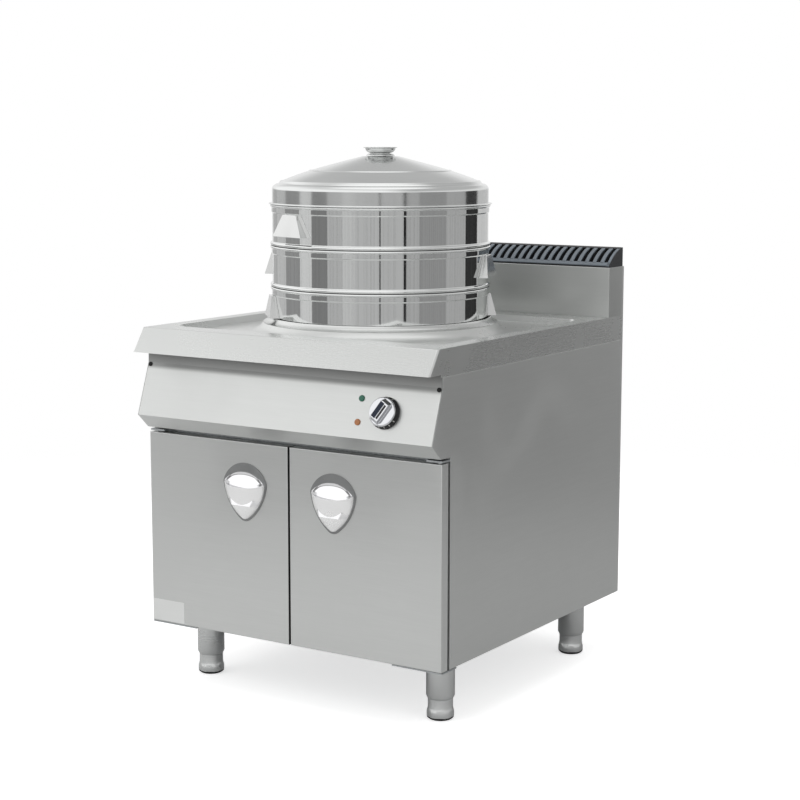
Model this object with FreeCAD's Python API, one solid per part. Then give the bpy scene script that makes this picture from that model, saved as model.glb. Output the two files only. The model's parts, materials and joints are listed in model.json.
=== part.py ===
# Floor standing commercial steamer with three stacked steaming tiers.
# X runs to the right, Y to the back, Z up. The origin is on the floor under the middle of the case.

import FreeCAD, Part
import math
import os

V = FreeCAD.Vector

# Case
WIDTH = 800.0
DEPTH = 900.0
WORKTOP_Z = 840.0
CASE_BOTTOM_Z = 144.0
SHEET = 1.5
WELD_GAP = 0.3
SKIRT_H = 60.0
REAR_FOLD = 8.0
FRONT_FOLD = 18.0
FLOOR_FOLD = 24.0

# Worktop
APRON_H = 54.0
APRON_SETBACK = 36.0
APRON_BEND_R = 5.0
WELL_SIDE_MARGIN = 63.0
WELL_END_MARGIN = 24.0
WELL_DEPTH = 14.0
WELL_SLOPE = 7.0
WELL_CORNER_R = 42.0
COLLAR_H = 18.5
COLLAR_SLOPE = 25.0
COLLAR_LEDGE = 1.0

# Splashback and flue grille
SPLASH_H = 121.0
SPLASH_D = 80.0
VENT_INSET = 12.0
FLUE_INSET = 30.0
GRILLE_H = 46.0
GRILLE_D = 70.0
GRILLE_WALL = 4.0
GRILLE_RAIL_H = 11.0
GRILLE_FOOT_H = 3.0
GRILLE_SETBACK = 2.0
GRILLE_CAP = 3.0
SLOT_W = 11.0
SLOT_PITCH = 20.8

# Control panel
PANEL_TOP_Y = 54.5
PANEL_TOP_Z = 758.0
PANEL_LOW_Y = 13.4
PANEL_LOW_Z = 639.5
PANEL_RETURN_Y = 48.5
PANEL_RETURN_Z = 607.0
PANEL_FLANGE = 16.0
PLUG_DROP = 5.0
PLUG_INSET = 8.0
PLUG_R = 5.0
PLUG_STEM_R = 3.5
PLUG_STEM_L = 4.0
PLUG_HEAD = 2.0
LAMP_X = 205.0
GREEN_LAMP_DROP = 38.0
AMBER_LAMP_DROP = 90.0
LAMP_R = 7.0
LAMP_HEAD = 3.0
LAMP_BODY_R = 5.0
LAMP_BODY_L = 24.0
KNOB_X = 271.0
KNOB_DROP = 65.0
KNOB_SKIRT_R = 35.0
KNOB_SKIRT_H = 12.0
KNOB_CAP_R = 32.0
KNOB_CAP_H = 5.0
KNOB_GRIP_W = 22.0
KNOB_GRIP_H = 9.4
KNOB_TURN = 30.0
KNOB_GAP = 0.5
SHAFT_R = 3.0
SHAFT_HOLE_R = 6.0
RUNNING_GAP = 0.05
THERMOSTAT_SIDE = 44.0
THERMOSTAT_DEPTH = 38.0
CAPILLARY_R = 1.5
BULB_R = 4.0
BULB_L = 90.0
BULB_X = 150.0
BULB_UP = 60.0
BULB_IN = 24.0

# Doors
DOOR_FRONT_Y = 53.7
DOOR_T = 25.3
DOOR_TOP_Z = 595.0
DOOR_SIDE_GAP = 1.0
DOOR_MID_GAP = 5.0
DOOR_EDGE_R = 2.0
DOOR_SHEET = 1.2
DOOR_STOP_GAP = 8.0
HINGE_IN = 14.5
HINGE_PIN_R = 4.0
HINGE_PLATE_T = 4.0
HINGE_GAP = 3.0
HINGE_PLATE_W = 42.0
HINGE_PLATE_REACH = 10.0
HINGE_PIN_IN_DOOR = 22.0
LINER_INSET = 2.0
STIFFENER_UP = 60.0
STIFFENER_INSET = 35.0
RAIL_FLANGE = 24.0
RAIL_DROP = 30.0
SILL_H = 26.0
MAGNET_W = 40.0
MAGNET_H = 12.0
MAGNET_DROP = 10.0
MAGNET_FROM_GAP = 40.0
MAGNET_GAP = 0.3

# Door handle
HANDLE_X = 121.0
HANDLE_HALF_W = 56.0
HANDLE_RIM_Z = 503.0
HANDLE_LIP_DROP = 9.0
HANDLE_ARCH_RISE = 25.0
HANDLE_TIP_DROP = 84.0
HANDLE_TIP_R = 17.0
HANDLE_TIP_TURN = 35.0
HANDLE_OUT = 23.0
HANDLE_TIP_OUT = 9.0
HANDLE_BOW_R = 78.0
HANDLE_WALL = 2.0
BACKPLATE_RISE = 40.0
BACKPLATE_T = 2.0
BACKPLATE_EDGE = 5.0
PLATE_W = 92.0
PLATE_H = 50.0
PLATE_T = 0.6

# Legs
LEG_IN_X = 76.5
LEG_FRONT_Y = 174.7
LEG_REAR_Y = 105.2
LEG_R = 32.0
LEG_WALL = 2.0
LEG_NECK_R = 28.5
LEG_END_Z = 47.0
LEG_TAPER = 7.0
LEG_PLATE_T = 4.0
LEG_PLATE_HALF = 52.0
LEG_PLATE_INSET = 15.0
HINGE_TAB_L = 60.0
DOOR_FLOOR_GAP = 1.0
FOOT_R = 28.0
FOOT_FLARE_R = 30.5
FOOT_PAD_R = 30.0
FOOT_PAD_H = 6.0
FOOT_FLARE_Z = 17.0
FOOT_FLARE_H = 10.0
FOOT_HEX_Z = 30.0
FOOT_HEX_HALF = 29.0
FOOT_PAD_BEVEL = 5.0
FOOT_THREAD_R = 8.0
FOOT_NUT_T = 20.0

# Steaming stack
STACK_Y = 423.0
TIER_COUNT = 3
TIER_PITCH = 95.5
TIER_SEAT_Z = 833.0
TIER_R = 252.6
TIER_WALL = 1.5
TIER_RIM_OUT = 4.9
TIER_RIM_H = 7.0
TIER_RIM_ROLL = 3.5
TIER_BAND_OUT = 2.0
TIER_BAND_H = 13.0
TIER_BAND_SLOPE = 2.0
TIER_BEAD_H = 9.0
SPIGOT_IN = 3.1
SPIGOT_H = 9.0
SPIGOT_GAP = 2.5
TRAY_T = 1.5
TRAY_GAP = 0.3
TRAY_UP = 9.5
TRAY_HOLE_R = 5.0
TRAY_HOLE_PITCH = 28.0
TRAY_EDGE = 14.0
GRIP_ANGLES = [222.5, 19.0, 251.0]
GRIP_TOP_W = 52.0
GRIP_LOW_W = 110.0
GRIP_UNDER_BAND = 0.5
GRIP_H = 49.5
GRIP_TOP_OUT = 7.0
GRIP_LOW_OUT = 15.0
GRIP_SHEET = 1.2
GRIP_FLANGE = 9.0

# Lid
LID_FLANGE_OUT = 8.1
LID_FLANGE_T = 2.0
LID_WALL_H = 34.0
LID_SHOULDER_R = 10.0
LID_SHOULDER_RUN = 14.0
LID_CREASE_IN = 19.6
LID_CREASE_Z = 52.0
LID_STEP_IN = 87.6
LID_STEP_Z = 76.5
LID_TOP_R = 42.0
LID_TOP_Z = 109.5
LID_CROWN_Z = 110.3
LID_WALL = 1.5
LID_SPIGOT_H = 8.0
KNOB_BASE_R = 34.0
KNOB_NECK_R = 23.5
KNOB_BOWL_R = 39.5
KNOB_STUD_R = 4.0
LID_KNOB_H = 20.2

# Steam ring, tank and what is in it
RING_FLANGE_W = 16.7
RING_LIP_W = 2.7
RING_FLARE = 4.2
RING_TOP_Z = 857.5
RING_SHEET = 1.5
RING_SOCKET_GAP = 0.8
TANK_GAP = 0.8
TANK_WALL = 1.5
TANK_BOTTOM_Z = 660.0
ELEMENT_R = 4.25
ELEMENT_COUNT = 3
ELEMENT_INSET = 57.1
ELEMENT_PITCH = 40.0
ELEMENT_RISE = 22.0
ELEMENT_Z = 695.0
ELEMENT_LEAD_GAP = 12.0
ELEMENT_LEAD_OUT = 30.0
ELEMENT_HEAD_T = 14.0
ELEMENT_HEAD_EDGE = 14.0

# Pipes under the tank, with their ends below the case
PIPE_WALL = 2.0
PIPE_NUT_W = 6.0
PIPE_NUT_H = 8.0
PIPE_END_STEP = 0.6
PIPE_END_L = 26.0
DRAIN_R = 17.2
DRAIN_X = -150.0
DRAIN_DY = 87.0
VALVE_Z = 560.0
VALVE_HALF = 24.0
VALVE_L = 70.0
VALVE_CORNER_R = 8.0
STEM_R = 6.0
STEM_L = 18.0
STEM_PROUD = 3.0
LEVER_L = 95.0
LEVER_W = 18.0
LEVER_HUB_R = 11.0
LEVER_T = 4.0
OVERFLOW_R = 9.0
OVERFLOW_Z = 812.0
OVERFLOW_ANGLE = 63.0
INLET_R = 11.1
INLET_FROM_SIDE = 90.0
INLET_FROM_BACK = 38.0
INLET_TANK_Z = 790.0
INLET_TANK_DY = 120.0

# Electrics
GLAND_FROM_SIDE = 90.0
GLAND_FROM_BACK = 35.0
GLAND_R = 16.0
GLAND_NECK_R = 11.8
GLAND_BORE_R = 9.0
GLAND_CROWN = 3.0
GLAND_CROWN_H = 8.0
GLAND_H = 26.0
GLAND_NUT_H = 8.0
CONTACTOR = (46.0, 60.0, 78.0)
TERMINAL = (30.0, 90.0, 34.0)
TERMINAL_WAYS = 5
TERMINAL_SLOT = 10.0
TERMINAL_SLOT_D = 8.0
TERMINAL_EDGE = 6.0
ELECTRICS_Y = 130.0
ELECTRICS_Z = 660.0
TERMINAL_DROP = 20.0

# Places worked out from the sizes above
HALF_W = WIDTH / 2
FRONT = -DEPTH / 2
BACK = DEPTH / 2
SIDE_BACK = BACK - REAR_FOLD
SEAM_Z = WORKTOP_Z - SKIRT_H
LIP_Z = WORKTOP_Z - APRON_H
SPLASH_TOP = WORKTOP_Z + SPLASH_H
SPLASH_FRONT = BACK - SPLASH_D
STACK_CY = FRONT + STACK_Y
DOOR_Y0 = FRONT + DOOR_FRONT_Y
DOOR_Y1 = DOOR_Y0 + DOOR_T
SIDE_FRONT = DOOR_Y1 + DOOR_STOP_GAP
HINGE_Y = DOOR_Y0 + DOOR_T / 2
HINGE_X = HALF_W - HINGE_IN
INNER_X = HALF_W - SHEET
TIER_BAND_R = TIER_R + TIER_BAND_OUT
TIER_RIM_R = TIER_R + TIER_RIM_OUT
SPIGOT_R = TIER_R - SPIGOT_IN
SOCKET_R = TIER_RIM_R + RING_SOCKET_GAP
RING_TOP_R = SOCKET_R + RING_LIP_W
RING_FLANGE_R = SOCKET_R + RING_FLANGE_W
TANK_R = SOCKET_R + RING_SHEET + TANK_GAP + TANK_WALL
COLLAR_HOLE_R = TANK_R + WELD_GAP
COLLAR_TOP_R = RING_FLANGE_R + COLLAR_LEDGE
COLLAR_LOW_R = COLLAR_TOP_R + COLLAR_SLOPE
WELL_HALF_X = COLLAR_LOW_R + WELL_SIDE_MARGIN
WELL_HALF_Y = COLLAR_LOW_R + WELL_END_MARGIN
WELL_FLOOR_Z = WORKTOP_Z - WELL_DEPTH
COLLAR_TOP_Z = WELL_FLOOR_Z + COLLAR_H
ELEMENT_OUTER_R = TANK_R - ELEMENT_INSET
PIPE_END_Z = CASE_BOTTOM_Z - PIPE_END_L
DRAIN_Y = STACK_CY + DRAIN_DY
STEM_END_Y = DRAIN_Y - VALVE_HALF - STEM_L
OVERFLOW_RUN = ELEMENT_OUTER_R - ELEMENT_PITCH / 2
OVERFLOW_X = OVERFLOW_RUN * math.cos(math.radians(OVERFLOW_ANGLE))
OVERFLOW_Y = STACK_CY + OVERFLOW_RUN * math.sin(math.radians(OVERFLOW_ANGLE))
INLET_X = INLET_FROM_SIDE - HALF_W
INLET_Y = BACK - INLET_FROM_BACK
INLET_TANK_Y = STACK_CY + INLET_TANK_DY
GLAND_X = HALF_W - GLAND_FROM_SIDE
GLAND_Y = BACK - GLAND_FROM_BACK
STACK_TOP_Z = TIER_SEAT_Z + TIER_COUNT * TIER_PITCH
LEG_FRONT = FRONT + LEG_FRONT_Y
LEG_REAR = BACK - LEG_REAR_Y
LEG_X = HALF_W - LEG_IN_X
LEGS = {
    "front_left": (-LEG_X, LEG_FRONT),
    "front_right": (LEG_X, LEG_FRONT),
    "rear_left": (-LEG_X, LEG_REAR),
    "rear_right": (LEG_X, LEG_REAR),
}
PLATE_TOP_Z = CASE_BOTTOM_Z
FLOOR_Z = CASE_BOTTOM_Z + SHEET
PIPE_FOOT_Z = FLOOR_Z + SHEET
PANEL_ANGLE = math.atan2(PANEL_TOP_Y - PANEL_LOW_Y, PANEL_TOP_Z - PANEL_LOW_Z)
PANEL_NORMAL = V(0, -math.cos(PANEL_ANGLE), math.sin(PANEL_ANGLE))
PANEL_DOWN = V(0, -math.sin(PANEL_ANGLE), -math.cos(PANEL_ANGLE))
HINGE_TOP_Z = DOOR_TOP_Z + HINGE_GAP

PARTS = {}


# Basic shapes

def box(x0, x1, y0, y1, z0, z1):
    return Part.makeBox(x1 - x0, y1 - y0, z1 - z0, V(x0, y0, z0))


def cylinder(r, z0, z1, x=0.0, y=0.0):
    return Part.makeCylinder(r, z1 - z0, V(x, y, z0))


def rod(start, end, r):
    axis = end.sub(start)
    return Part.makeCylinder(r, axis.Length, start, axis)


def fuse(shapes):
    return shapes[0].multiFuse(shapes[1:]).removeSplitter()


def extrude_yz(points, x0, x1):
    wire = Part.makePolygon([V(x0, y, z) for y, z in points + points[:1]])
    return Part.Face(wire).extrude(V(x1 - x0, 0, 0))


def section(steps):
    # A closed outline in the X-Z plane. A step is a point, or a pair: a point on an arc and its end.
    edges = []
    here = steps[0]
    for step in steps[1:] + steps[:1]:
        if isinstance(step[0], tuple):
            middle, end = step
            edges.append(Part.Arc(V(here[0], 0, here[1]), V(middle[0], 0, middle[1]),
                                  V(end[0], 0, end[1])).toShape())
        else:
            end = step
            edges.append(Part.LineSegment(V(here[0], 0, here[1]), V(end[0], 0, end[1])).toShape())
        here = end
    return Part.Face(Part.Wire(edges))


def turned(steps, x=0.0, y=0.0):
    shape = section(steps).revolve(V(0, 0, 0), V(0, 0, 1), 360)
    return shape.translate(V(x, y, 0))


def offset_path(points, distance):
    # The same open path moved sideways, with mitred corners.
    moved = []
    for i, (a, b) in enumerate(points):
        before = points[max(i - 1, 0)]
        after = points[min(i + 1, len(points) - 1)]
        if i == 0:
            before = (2 * a - after[0], 2 * b - after[1])
        if i == len(points) - 1:
            after = (2 * a - before[0], 2 * b - before[1])
        d0 = math.hypot(a - before[0], b - before[1])
        d1 = math.hypot(after[0] - a, after[1] - b)
        n0 = (-(b - before[1]) / d0, (a - before[0]) / d0)
        n1 = (-(after[1] - b) / d1, (after[0] - a) / d1)
        mid = (n0[0] + n1[0], n0[1] + n1[1])
        scale = distance * 2 / (mid[0] ** 2 + mid[1] ** 2)
        moved.append((a + mid[0] * scale, b + mid[1] * scale))
    return moved


def bent_strip(points, thickness, x0, x1):
    return extrude_yz(points + offset_path(points, thickness)[::-1], x0, x1)


def rounded_outline(x0, x1, y0, y1, z, r):
    rect = Part.makePlane(x1 - x0, y1 - y0, V(x0, y0, z))
    prism = rect.extrude(V(0, 0, 1))
    upright = [e for e in prism.Edges if abs(e.Vertexes[0].Z - e.Vertexes[1].Z) > 0.5]
    prism = prism.makeFillet(r, upright)
    low = min(prism.Faces, key=lambda f: f.CenterOfMass.z)
    return low.OuterWire


def rounded_prism(x0, x1, y0, y1, z0, z1, r):
    return Part.Face(rounded_outline(x0, x1, y0, y1, z0, r)).extrude(V(0, 0, z1 - z0))


def mirror_x(shape):
    return shape.mirror(V(0, 0, 0), V(1, 0, 0))


# Worktop, splashback and flue grille

def case_outline(inset):
    # The side view of the worktop shell, closed below at the skirt's lower edge.
    return [
        (FRONT + inset * 1.2, LIP_Z),
        (FRONT + APRON_SETBACK + inset * 0.6, WORKTOP_Z - inset),
        (SIDE_BACK, WORKTOP_Z - inset),
        (SIDE_BACK, SEAM_Z),
        (FRONT + PANEL_RETURN_Y, SEAM_Z),
        (FRONT + PANEL_RETURN_Y, LIP_Z),
    ]


def well_solid(grow):
    rim = rounded_outline(-WELL_HALF_X - grow, WELL_HALF_X + grow, STACK_CY - WELL_HALF_Y - grow,
                          STACK_CY + WELL_HALF_Y + grow, WORKTOP_Z + 0.01, WELL_CORNER_R + grow)
    half_x = WELL_HALF_X - WELL_SLOPE + grow
    half_y = WELL_HALF_Y - WELL_SLOPE + grow
    floor = rounded_outline(-half_x, half_x, STACK_CY - half_y, STACK_CY + half_y,
                            WELL_FLOOR_Z - grow, WELL_CORNER_R - WELL_SLOPE + grow)
    return Part.makeLoft([floor, rim], True, True)


def collar_section():
    # A flat ledge for the steam ring, then a hollow slope down to the well's floor.
    mid_r = COLLAR_TOP_R + COLLAR_SLOPE * 0.34
    mid_z = WELL_FLOOR_Z + COLLAR_H * 0.44
    return [
        (COLLAR_HOLE_R, COLLAR_TOP_Z - SHEET),
        (COLLAR_HOLE_R, COLLAR_TOP_Z),
        (COLLAR_TOP_R, COLLAR_TOP_Z),
        ((mid_r, mid_z), (COLLAR_LOW_R, WELL_FLOOR_Z)),
        (COLLAR_LOW_R, WELL_FLOOR_Z - SHEET),
        ((mid_r - SHEET, mid_z - SHEET), (COLLAR_TOP_R - SHEET, COLLAR_TOP_Z - SHEET)),
    ]


def make_worktop():
    outer = extrude_yz(case_outline(0.0), -HALF_W, HALF_W)
    corner = [e for e in outer.Edges if abs(e.Vertexes[0].X - e.Vertexes[-1].X) > 1
              and abs(e.CenterOfMass.z - WORKTOP_Z) < 0.1 and e.CenterOfMass.y < 0]
    slope = [e for e in outer.Edges if abs(abs(e.CenterOfMass.x) - HALF_W) < 0.1
             and LIP_Z < e.CenterOfMass.z < WORKTOP_Z and e.CenterOfMass.y < FRONT + APRON_SETBACK]
    outer = outer.makeFillet(APRON_BEND_R, corner + slope)
    inner = extrude_yz(case_outline(SHEET), -INNER_X, INNER_X)
    below = box(-INNER_X, INNER_X, FRONT + PANEL_RETURN_Y - 1, BACK, SEAM_Z - 1, LIP_Z + 1)
    behind = box(-INNER_X, INNER_X, 0, BACK, SEAM_Z - 1, WORKTOP_Z - SHEET)
    shell = outer.cut(inner).cut(below).cut(behind)
    lip = box(-INNER_X, INNER_X, FRONT + SHEET, FRONT + PANEL_TOP_Y, LIP_Z, LIP_Z + SHEET)
    pan = well_solid(SHEET).cut(well_solid(0.0))
    hole = cylinder(COLLAR_LOW_R - SHEET, WELL_FLOOR_Z - 10, WORKTOP_Z + 10, 0, STACK_CY)
    flue = box(-INNER_X + FLUE_INSET, INNER_X - FLUE_INSET, SPLASH_FRONT + VENT_INSET,
               SIDE_BACK - VENT_INSET, LIP_Z, WORKTOP_Z + 1)
    top = shell.cut(well_solid(0.0)).cut(flue)
    collar = turned(collar_section(), 0, STACK_CY)
    return fuse([top, lip, pan.cut(hole), collar])


def make_splashback():
    outer = box(-HALF_W, HALF_W, SPLASH_FRONT, SIDE_BACK, WORKTOP_Z, SPLASH_TOP)
    front = [e for e in outer.Edges if abs(e.CenterOfMass.y - SPLASH_FRONT) < 0.1
             and e.CenterOfMass.z > WORKTOP_Z + 1]
    outer = outer.makeFillet(SHEET, front)
    inner = box(-INNER_X, INNER_X, SPLASH_FRONT + SHEET, BACK, WORKTOP_Z - 1, SPLASH_TOP - SHEET)
    vent = box(-INNER_X + VENT_INSET, INNER_X - VENT_INSET, SPLASH_FRONT + VENT_INSET,
               SIDE_BACK - VENT_INSET, SPLASH_TOP - 2 * SHEET, SPLASH_TOP + 1)
    return outer.cut(inner).cut(vent)


def grille_face(wall):
    # Side view of the grille: a low foot in front and an arc that rises to the back.
    y0 = SPLASH_FRONT + GRILLE_SETBACK + wall * 1.3
    y1 = SPLASH_FRONT + GRILLE_SETBACK + GRILLE_D - wall
    low = SPLASH_TOP - (1 if wall else 0)
    mid_y = SPLASH_FRONT + GRILLE_SETBACK + GRILLE_D * 0.38 + wall * 0.7
    mid_z = SPLASH_TOP + GRILLE_H * 0.60 - wall * 0.7
    return [
        (y0, low),
        (y0, SPLASH_TOP + GRILLE_FOOT_H),
        ((mid_y, mid_z), (y1, SPLASH_TOP + GRILLE_H - wall)),
        (y1, low),
    ]


def extrude_grille(shrink, x0, x1):
    face = section(grille_face(shrink))
    face = face.rotate(V(0, 0, 0), V(0, 0, 1), 90)
    return face.translate(V(x0, 0, 0)).extrude(V(x1 - x0, 0, 0))


def make_flue_grille():
    inside = HALF_W - GRILLE_CAP
    body = extrude_grille(0.0, -inside, inside).cut(extrude_grille(GRILLE_WALL, -inside, inside))
    count = int(2 * inside / SLOT_PITCH)
    first = -(count - 1) * SLOT_PITCH / 2
    slots = []
    for i in range(count):
        x = first + i * SLOT_PITCH
        slots.append(box(x - SLOT_W / 2, x + SLOT_W / 2, SPLASH_FRONT - 1, SPLASH_FRONT + GRILLE_D - 8,
                         SPLASH_TOP + GRILLE_RAIL_H, SPLASH_TOP + GRILLE_H + 1))
    return body.cut(Part.makeCompound(slots))


def make_grille_caps():
    left = extrude_grille(0.0, -HALF_W, -HALF_W + GRILLE_CAP)
    right = extrude_grille(0.0, HALF_W - GRILLE_CAP, HALF_W)
    return Part.makeCompound([left, right])


# Case panels

def panel_path():
    # Side view of the control panel's outer face, from under the apron to its rear flange.
    return [
        (FRONT + PANEL_TOP_Y, LIP_Z + SHEET),
        (FRONT + PANEL_TOP_Y, PANEL_TOP_Z),
        (FRONT + PANEL_LOW_Y, PANEL_LOW_Z),
        (FRONT + PANEL_RETURN_Y, PANEL_RETURN_Z),
        (FRONT + PANEL_RETURN_Y + PANEL_FLANGE, PANEL_RETURN_Z),
    ]


def on_panel(x, drop, out):
    top = V(x, FRONT + PANEL_TOP_Y, PANEL_TOP_Z)
    return top.add(PANEL_DOWN * drop).add(PANEL_NORMAL * out)


def panel_hole(x, drop, r):
    return rod(on_panel(x, drop, -2 * SHEET - 4), on_panel(x, drop, 4), r)


def make_side_panel():
    # The right-hand panel; the left is its mirror image.
    outline = [
        (FRONT + PANEL_TOP_Y, SEAM_Z),
        (FRONT + PANEL_TOP_Y, PANEL_TOP_Z),
        (FRONT + PANEL_LOW_Y, PANEL_LOW_Z),
        (FRONT + PANEL_RETURN_Y, PANEL_RETURN_Z),
        (SIDE_FRONT, PANEL_RETURN_Z),
        (SIDE_FRONT, CASE_BOTTOM_Z),
        (SIDE_BACK, CASE_BOTTOM_Z),
        (SIDE_BACK, SEAM_Z),
    ]
    plate = extrude_yz(outline, INNER_X, HALF_W)
    fold = box(HALF_W - FRONT_FOLD, HALF_W, SIDE_FRONT, SIDE_FRONT + SHEET, CASE_BOTTOM_Z, PANEL_RETURN_Z)
    foot = box(HALF_W - FLOOR_FOLD, HALF_W, SIDE_FRONT, SIDE_BACK, CASE_BOTTOM_Z, CASE_BOTTOM_Z + SHEET)
    return fuse([plate, fold, foot])


def make_rear_panel():
    back = box(-HALF_W, HALF_W, BACK - SHEET, BACK, CASE_BOTTOM_Z, SPLASH_TOP)
    sides = [box(x - SHEET / 2, x + SHEET / 2, SIDE_BACK, BACK - SHEET / 2, CASE_BOTTOM_Z, SPLASH_TOP)
             for x in (-HALF_W + SHEET / 2, HALF_W - SHEET / 2)]
    top = box(-HALF_W, HALF_W, SIDE_BACK, BACK - SHEET / 2, SPLASH_TOP - SHEET, SPLASH_TOP)
    low = box(-HALF_W, HALF_W, SIDE_BACK, BACK - SHEET / 2, CASE_BOTTOM_Z, CASE_BOTTOM_Z + SHEET)
    return fuse([back, top, low] + sides)


def make_floor_panel():
    plate = box(-INNER_X, INNER_X, SIDE_FRONT + SHEET, BACK - SHEET, FLOOR_Z, FLOOR_Z + SHEET)
    holes = []
    for x, y, r in ((DRAIN_X, DRAIN_Y, DRAIN_R), (INLET_X, INLET_Y, INLET_R),
                    (OVERFLOW_X, OVERFLOW_Y, OVERFLOW_R), (GLAND_X, GLAND_Y, GLAND_NECK_R)):
        holes.append(cylinder(r + WELD_GAP, FLOOR_Z - 1, FLOOR_Z + SHEET + 1, x, y))
    return plate.cut(Part.makeCompound(holes))


def make_front_rails():
    # Upper rail with its two hinge plates, and the low sill, welded between the side panels.
    edge = INNER_X - FRONT_FOLD + SHEET
    y0 = SIDE_FRONT
    y1 = y0 + RAIL_FLANGE
    top_z = PANEL_RETURN_Z
    low_z = DOOR_TOP_Z - RAIL_DROP
    upper = bent_strip([(y1, low_z), (y0, low_z), (y0, top_z), (y1, top_z)], -SHEET, -edge, edge)
    sill = box(-edge, edge, y0, y0 + SHEET, FLOOR_Z + SHEET, FLOOR_Z + SILL_H)
    pieces = [upper, sill]
    bore = HINGE_PIN_R + RUNNING_GAP
    for side in (-1, 1):
        x_in = side * (HALF_W - HINGE_PLATE_W)
        x_out = side * (INNER_X - WELD_GAP)
        plate = box(min(x_in, x_out), max(x_in, x_out), HINGE_Y - HINGE_PLATE_REACH, y0,
                    HINGE_TOP_Z, HINGE_TOP_Z + HINGE_PLATE_T)
        hole = cylinder(bore, HINGE_TOP_Z - 1, HINGE_TOP_Z + HINGE_PLATE_T + 1, side * HINGE_X, HINGE_Y)
        pieces.append(plate.cut(hole))
    return fuse(pieces)


def make_control_panel():
    edge = INNER_X - WELD_GAP
    body = bent_strip(panel_path(), SHEET, -edge, edge)
    holes = [panel_hole(KNOB_X, KNOB_DROP, SHAFT_HOLE_R)]
    for drop in (GREEN_LAMP_DROP, AMBER_LAMP_DROP):
        holes.append(panel_hole(LAMP_X, drop, LAMP_BODY_R + WELD_GAP))
    for side in (-1, 1):
        holes.append(panel_hole(side * (HALF_W - PLUG_INSET), PLUG_DROP, PLUG_STEM_R + WELD_GAP))
    return body.cut(Part.makeCompound(holes))


def make_panel_plugs():
    plugs = []
    for side in (-1, 1):
        x = side * (HALF_W - PLUG_INSET)
        head = rod(on_panel(x, PLUG_DROP, 0), on_panel(x, PLUG_DROP, PLUG_HEAD), PLUG_R)
        stem = rod(on_panel(x, PLUG_DROP, -PLUG_STEM_L), on_panel(x, PLUG_DROP, 0), PLUG_STEM_R)
        plugs.append(fuse([head, stem]))
    return Part.makeCompound(plugs)


def make_lamp(drop):
    head = rod(on_panel(LAMP_X, drop, 0), on_panel(LAMP_X, drop, LAMP_HEAD), LAMP_R)
    rim = max(head.Edges, key=lambda e: e.CenterOfMass.dot(PANEL_NORMAL))
    head = head.makeFillet(LAMP_HEAD * 0.6, [rim])
    body = rod(on_panel(LAMP_X, drop, -LAMP_BODY_L), on_panel(LAMP_X, drop, 0), LAMP_BODY_R)
    return fuse([head, body])


# Thermostat and its knob

def make_thermostat():
    # Body behind the panel with a turning shaft, and a capillary that ends in a bulb in the tank.
    half = THERMOSTAT_SIDE / 2
    block = box(-half, half, -half, half, -THERMOSTAT_DEPTH - SHEET, -SHEET)
    shaft = cylinder(SHAFT_R, -SHEET, KNOB_SKIRT_H + KNOB_GAP - 2)
    body = fuse([block, shaft])
    body = place_on_panel(body, KNOB_X, KNOB_DROP)
    start = on_panel(KNOB_X, KNOB_DROP, -THERMOSTAT_DEPTH - SHEET + 1)
    bulb_z = TANK_BOTTOM_Z + BULB_UP
    reach = math.sqrt((TANK_R + 3) ** 2 - BULB_X ** 2)
    wall = V(BULB_X, STACK_CY - reach, bulb_z)
    turn = V(start.x, (start.y + wall.y) / 2 - 10, bulb_z)
    capillary = fuse([rod(start, turn, CAPILLARY_R), Part.makeSphere(CAPILLARY_R, turn),
                      rod(turn, wall, CAPILLARY_R), Part.makeSphere(CAPILLARY_R, wall)])
    inner = wall.add(V(0, BULB_IN, 0))
    bulb = rod(inner, inner.add(V(0, BULB_L, 0)), BULB_R)
    link = rod(wall, inner, CAPILLARY_R)
    return fuse([body, capillary, link, bulb])


def place_on_panel(shape, x, drop):
    # A shape built about the Z axis stands on the panel's face, its Y axis pointing up the face.
    tilt = 90 - math.degrees(PANEL_ANGLE)
    shape = shape.rotate(V(0, 0, 0), V(1, 0, 0), tilt)
    return shape.translate(on_panel(x, drop, 0))


def make_knob_skirt():
    steps = [
        (SHAFT_R + RUNNING_GAP, KNOB_GAP),
        (KNOB_SKIRT_R, KNOB_GAP),
        (KNOB_SKIRT_R, KNOB_GAP + 4),
        (KNOB_CAP_R, KNOB_GAP + KNOB_SKIRT_H),
        (SHAFT_R + RUNNING_GAP, KNOB_GAP + KNOB_SKIRT_H),
    ]
    return place_on_panel(turned(steps), KNOB_X, KNOB_DROP)


def make_knob_cap():
    base = KNOB_GAP + KNOB_SKIRT_H
    disc = cylinder(KNOB_CAP_R, base, base + KNOB_CAP_H)
    top_edge = max(disc.Edges, key=lambda e: e.CenterOfMass.z)
    disc = disc.makeFillet(KNOB_CAP_H * 0.6, [top_edge])
    half = KNOB_GRIP_W / 2
    top = base + KNOB_CAP_H + KNOB_GRIP_H
    grip = extrude_yz([(-KNOB_CAP_R + 3, base + 1), (-KNOB_CAP_R + 11, top),
                       (KNOB_CAP_R - 11, top), (KNOB_CAP_R - 3, base + 1)], -half, half)
    slot = box(half - 8, half - 3, -17, 17, top - 3, top + 1)
    grip = grip.cut(slot).common(cylinder(KNOB_CAP_R - 0.5, base, top + 1))
    cap = fuse([disc, grip]).rotate(V(0, 0, 0), V(0, 0, 1), -KNOB_TURN)
    return place_on_panel(cap, KNOB_X, KNOB_DROP)


# Doors, built for the right-hand side

def door_edges():
    return DOOR_MID_GAP / 2, HALF_W - DOOR_SIDE_GAP


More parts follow.
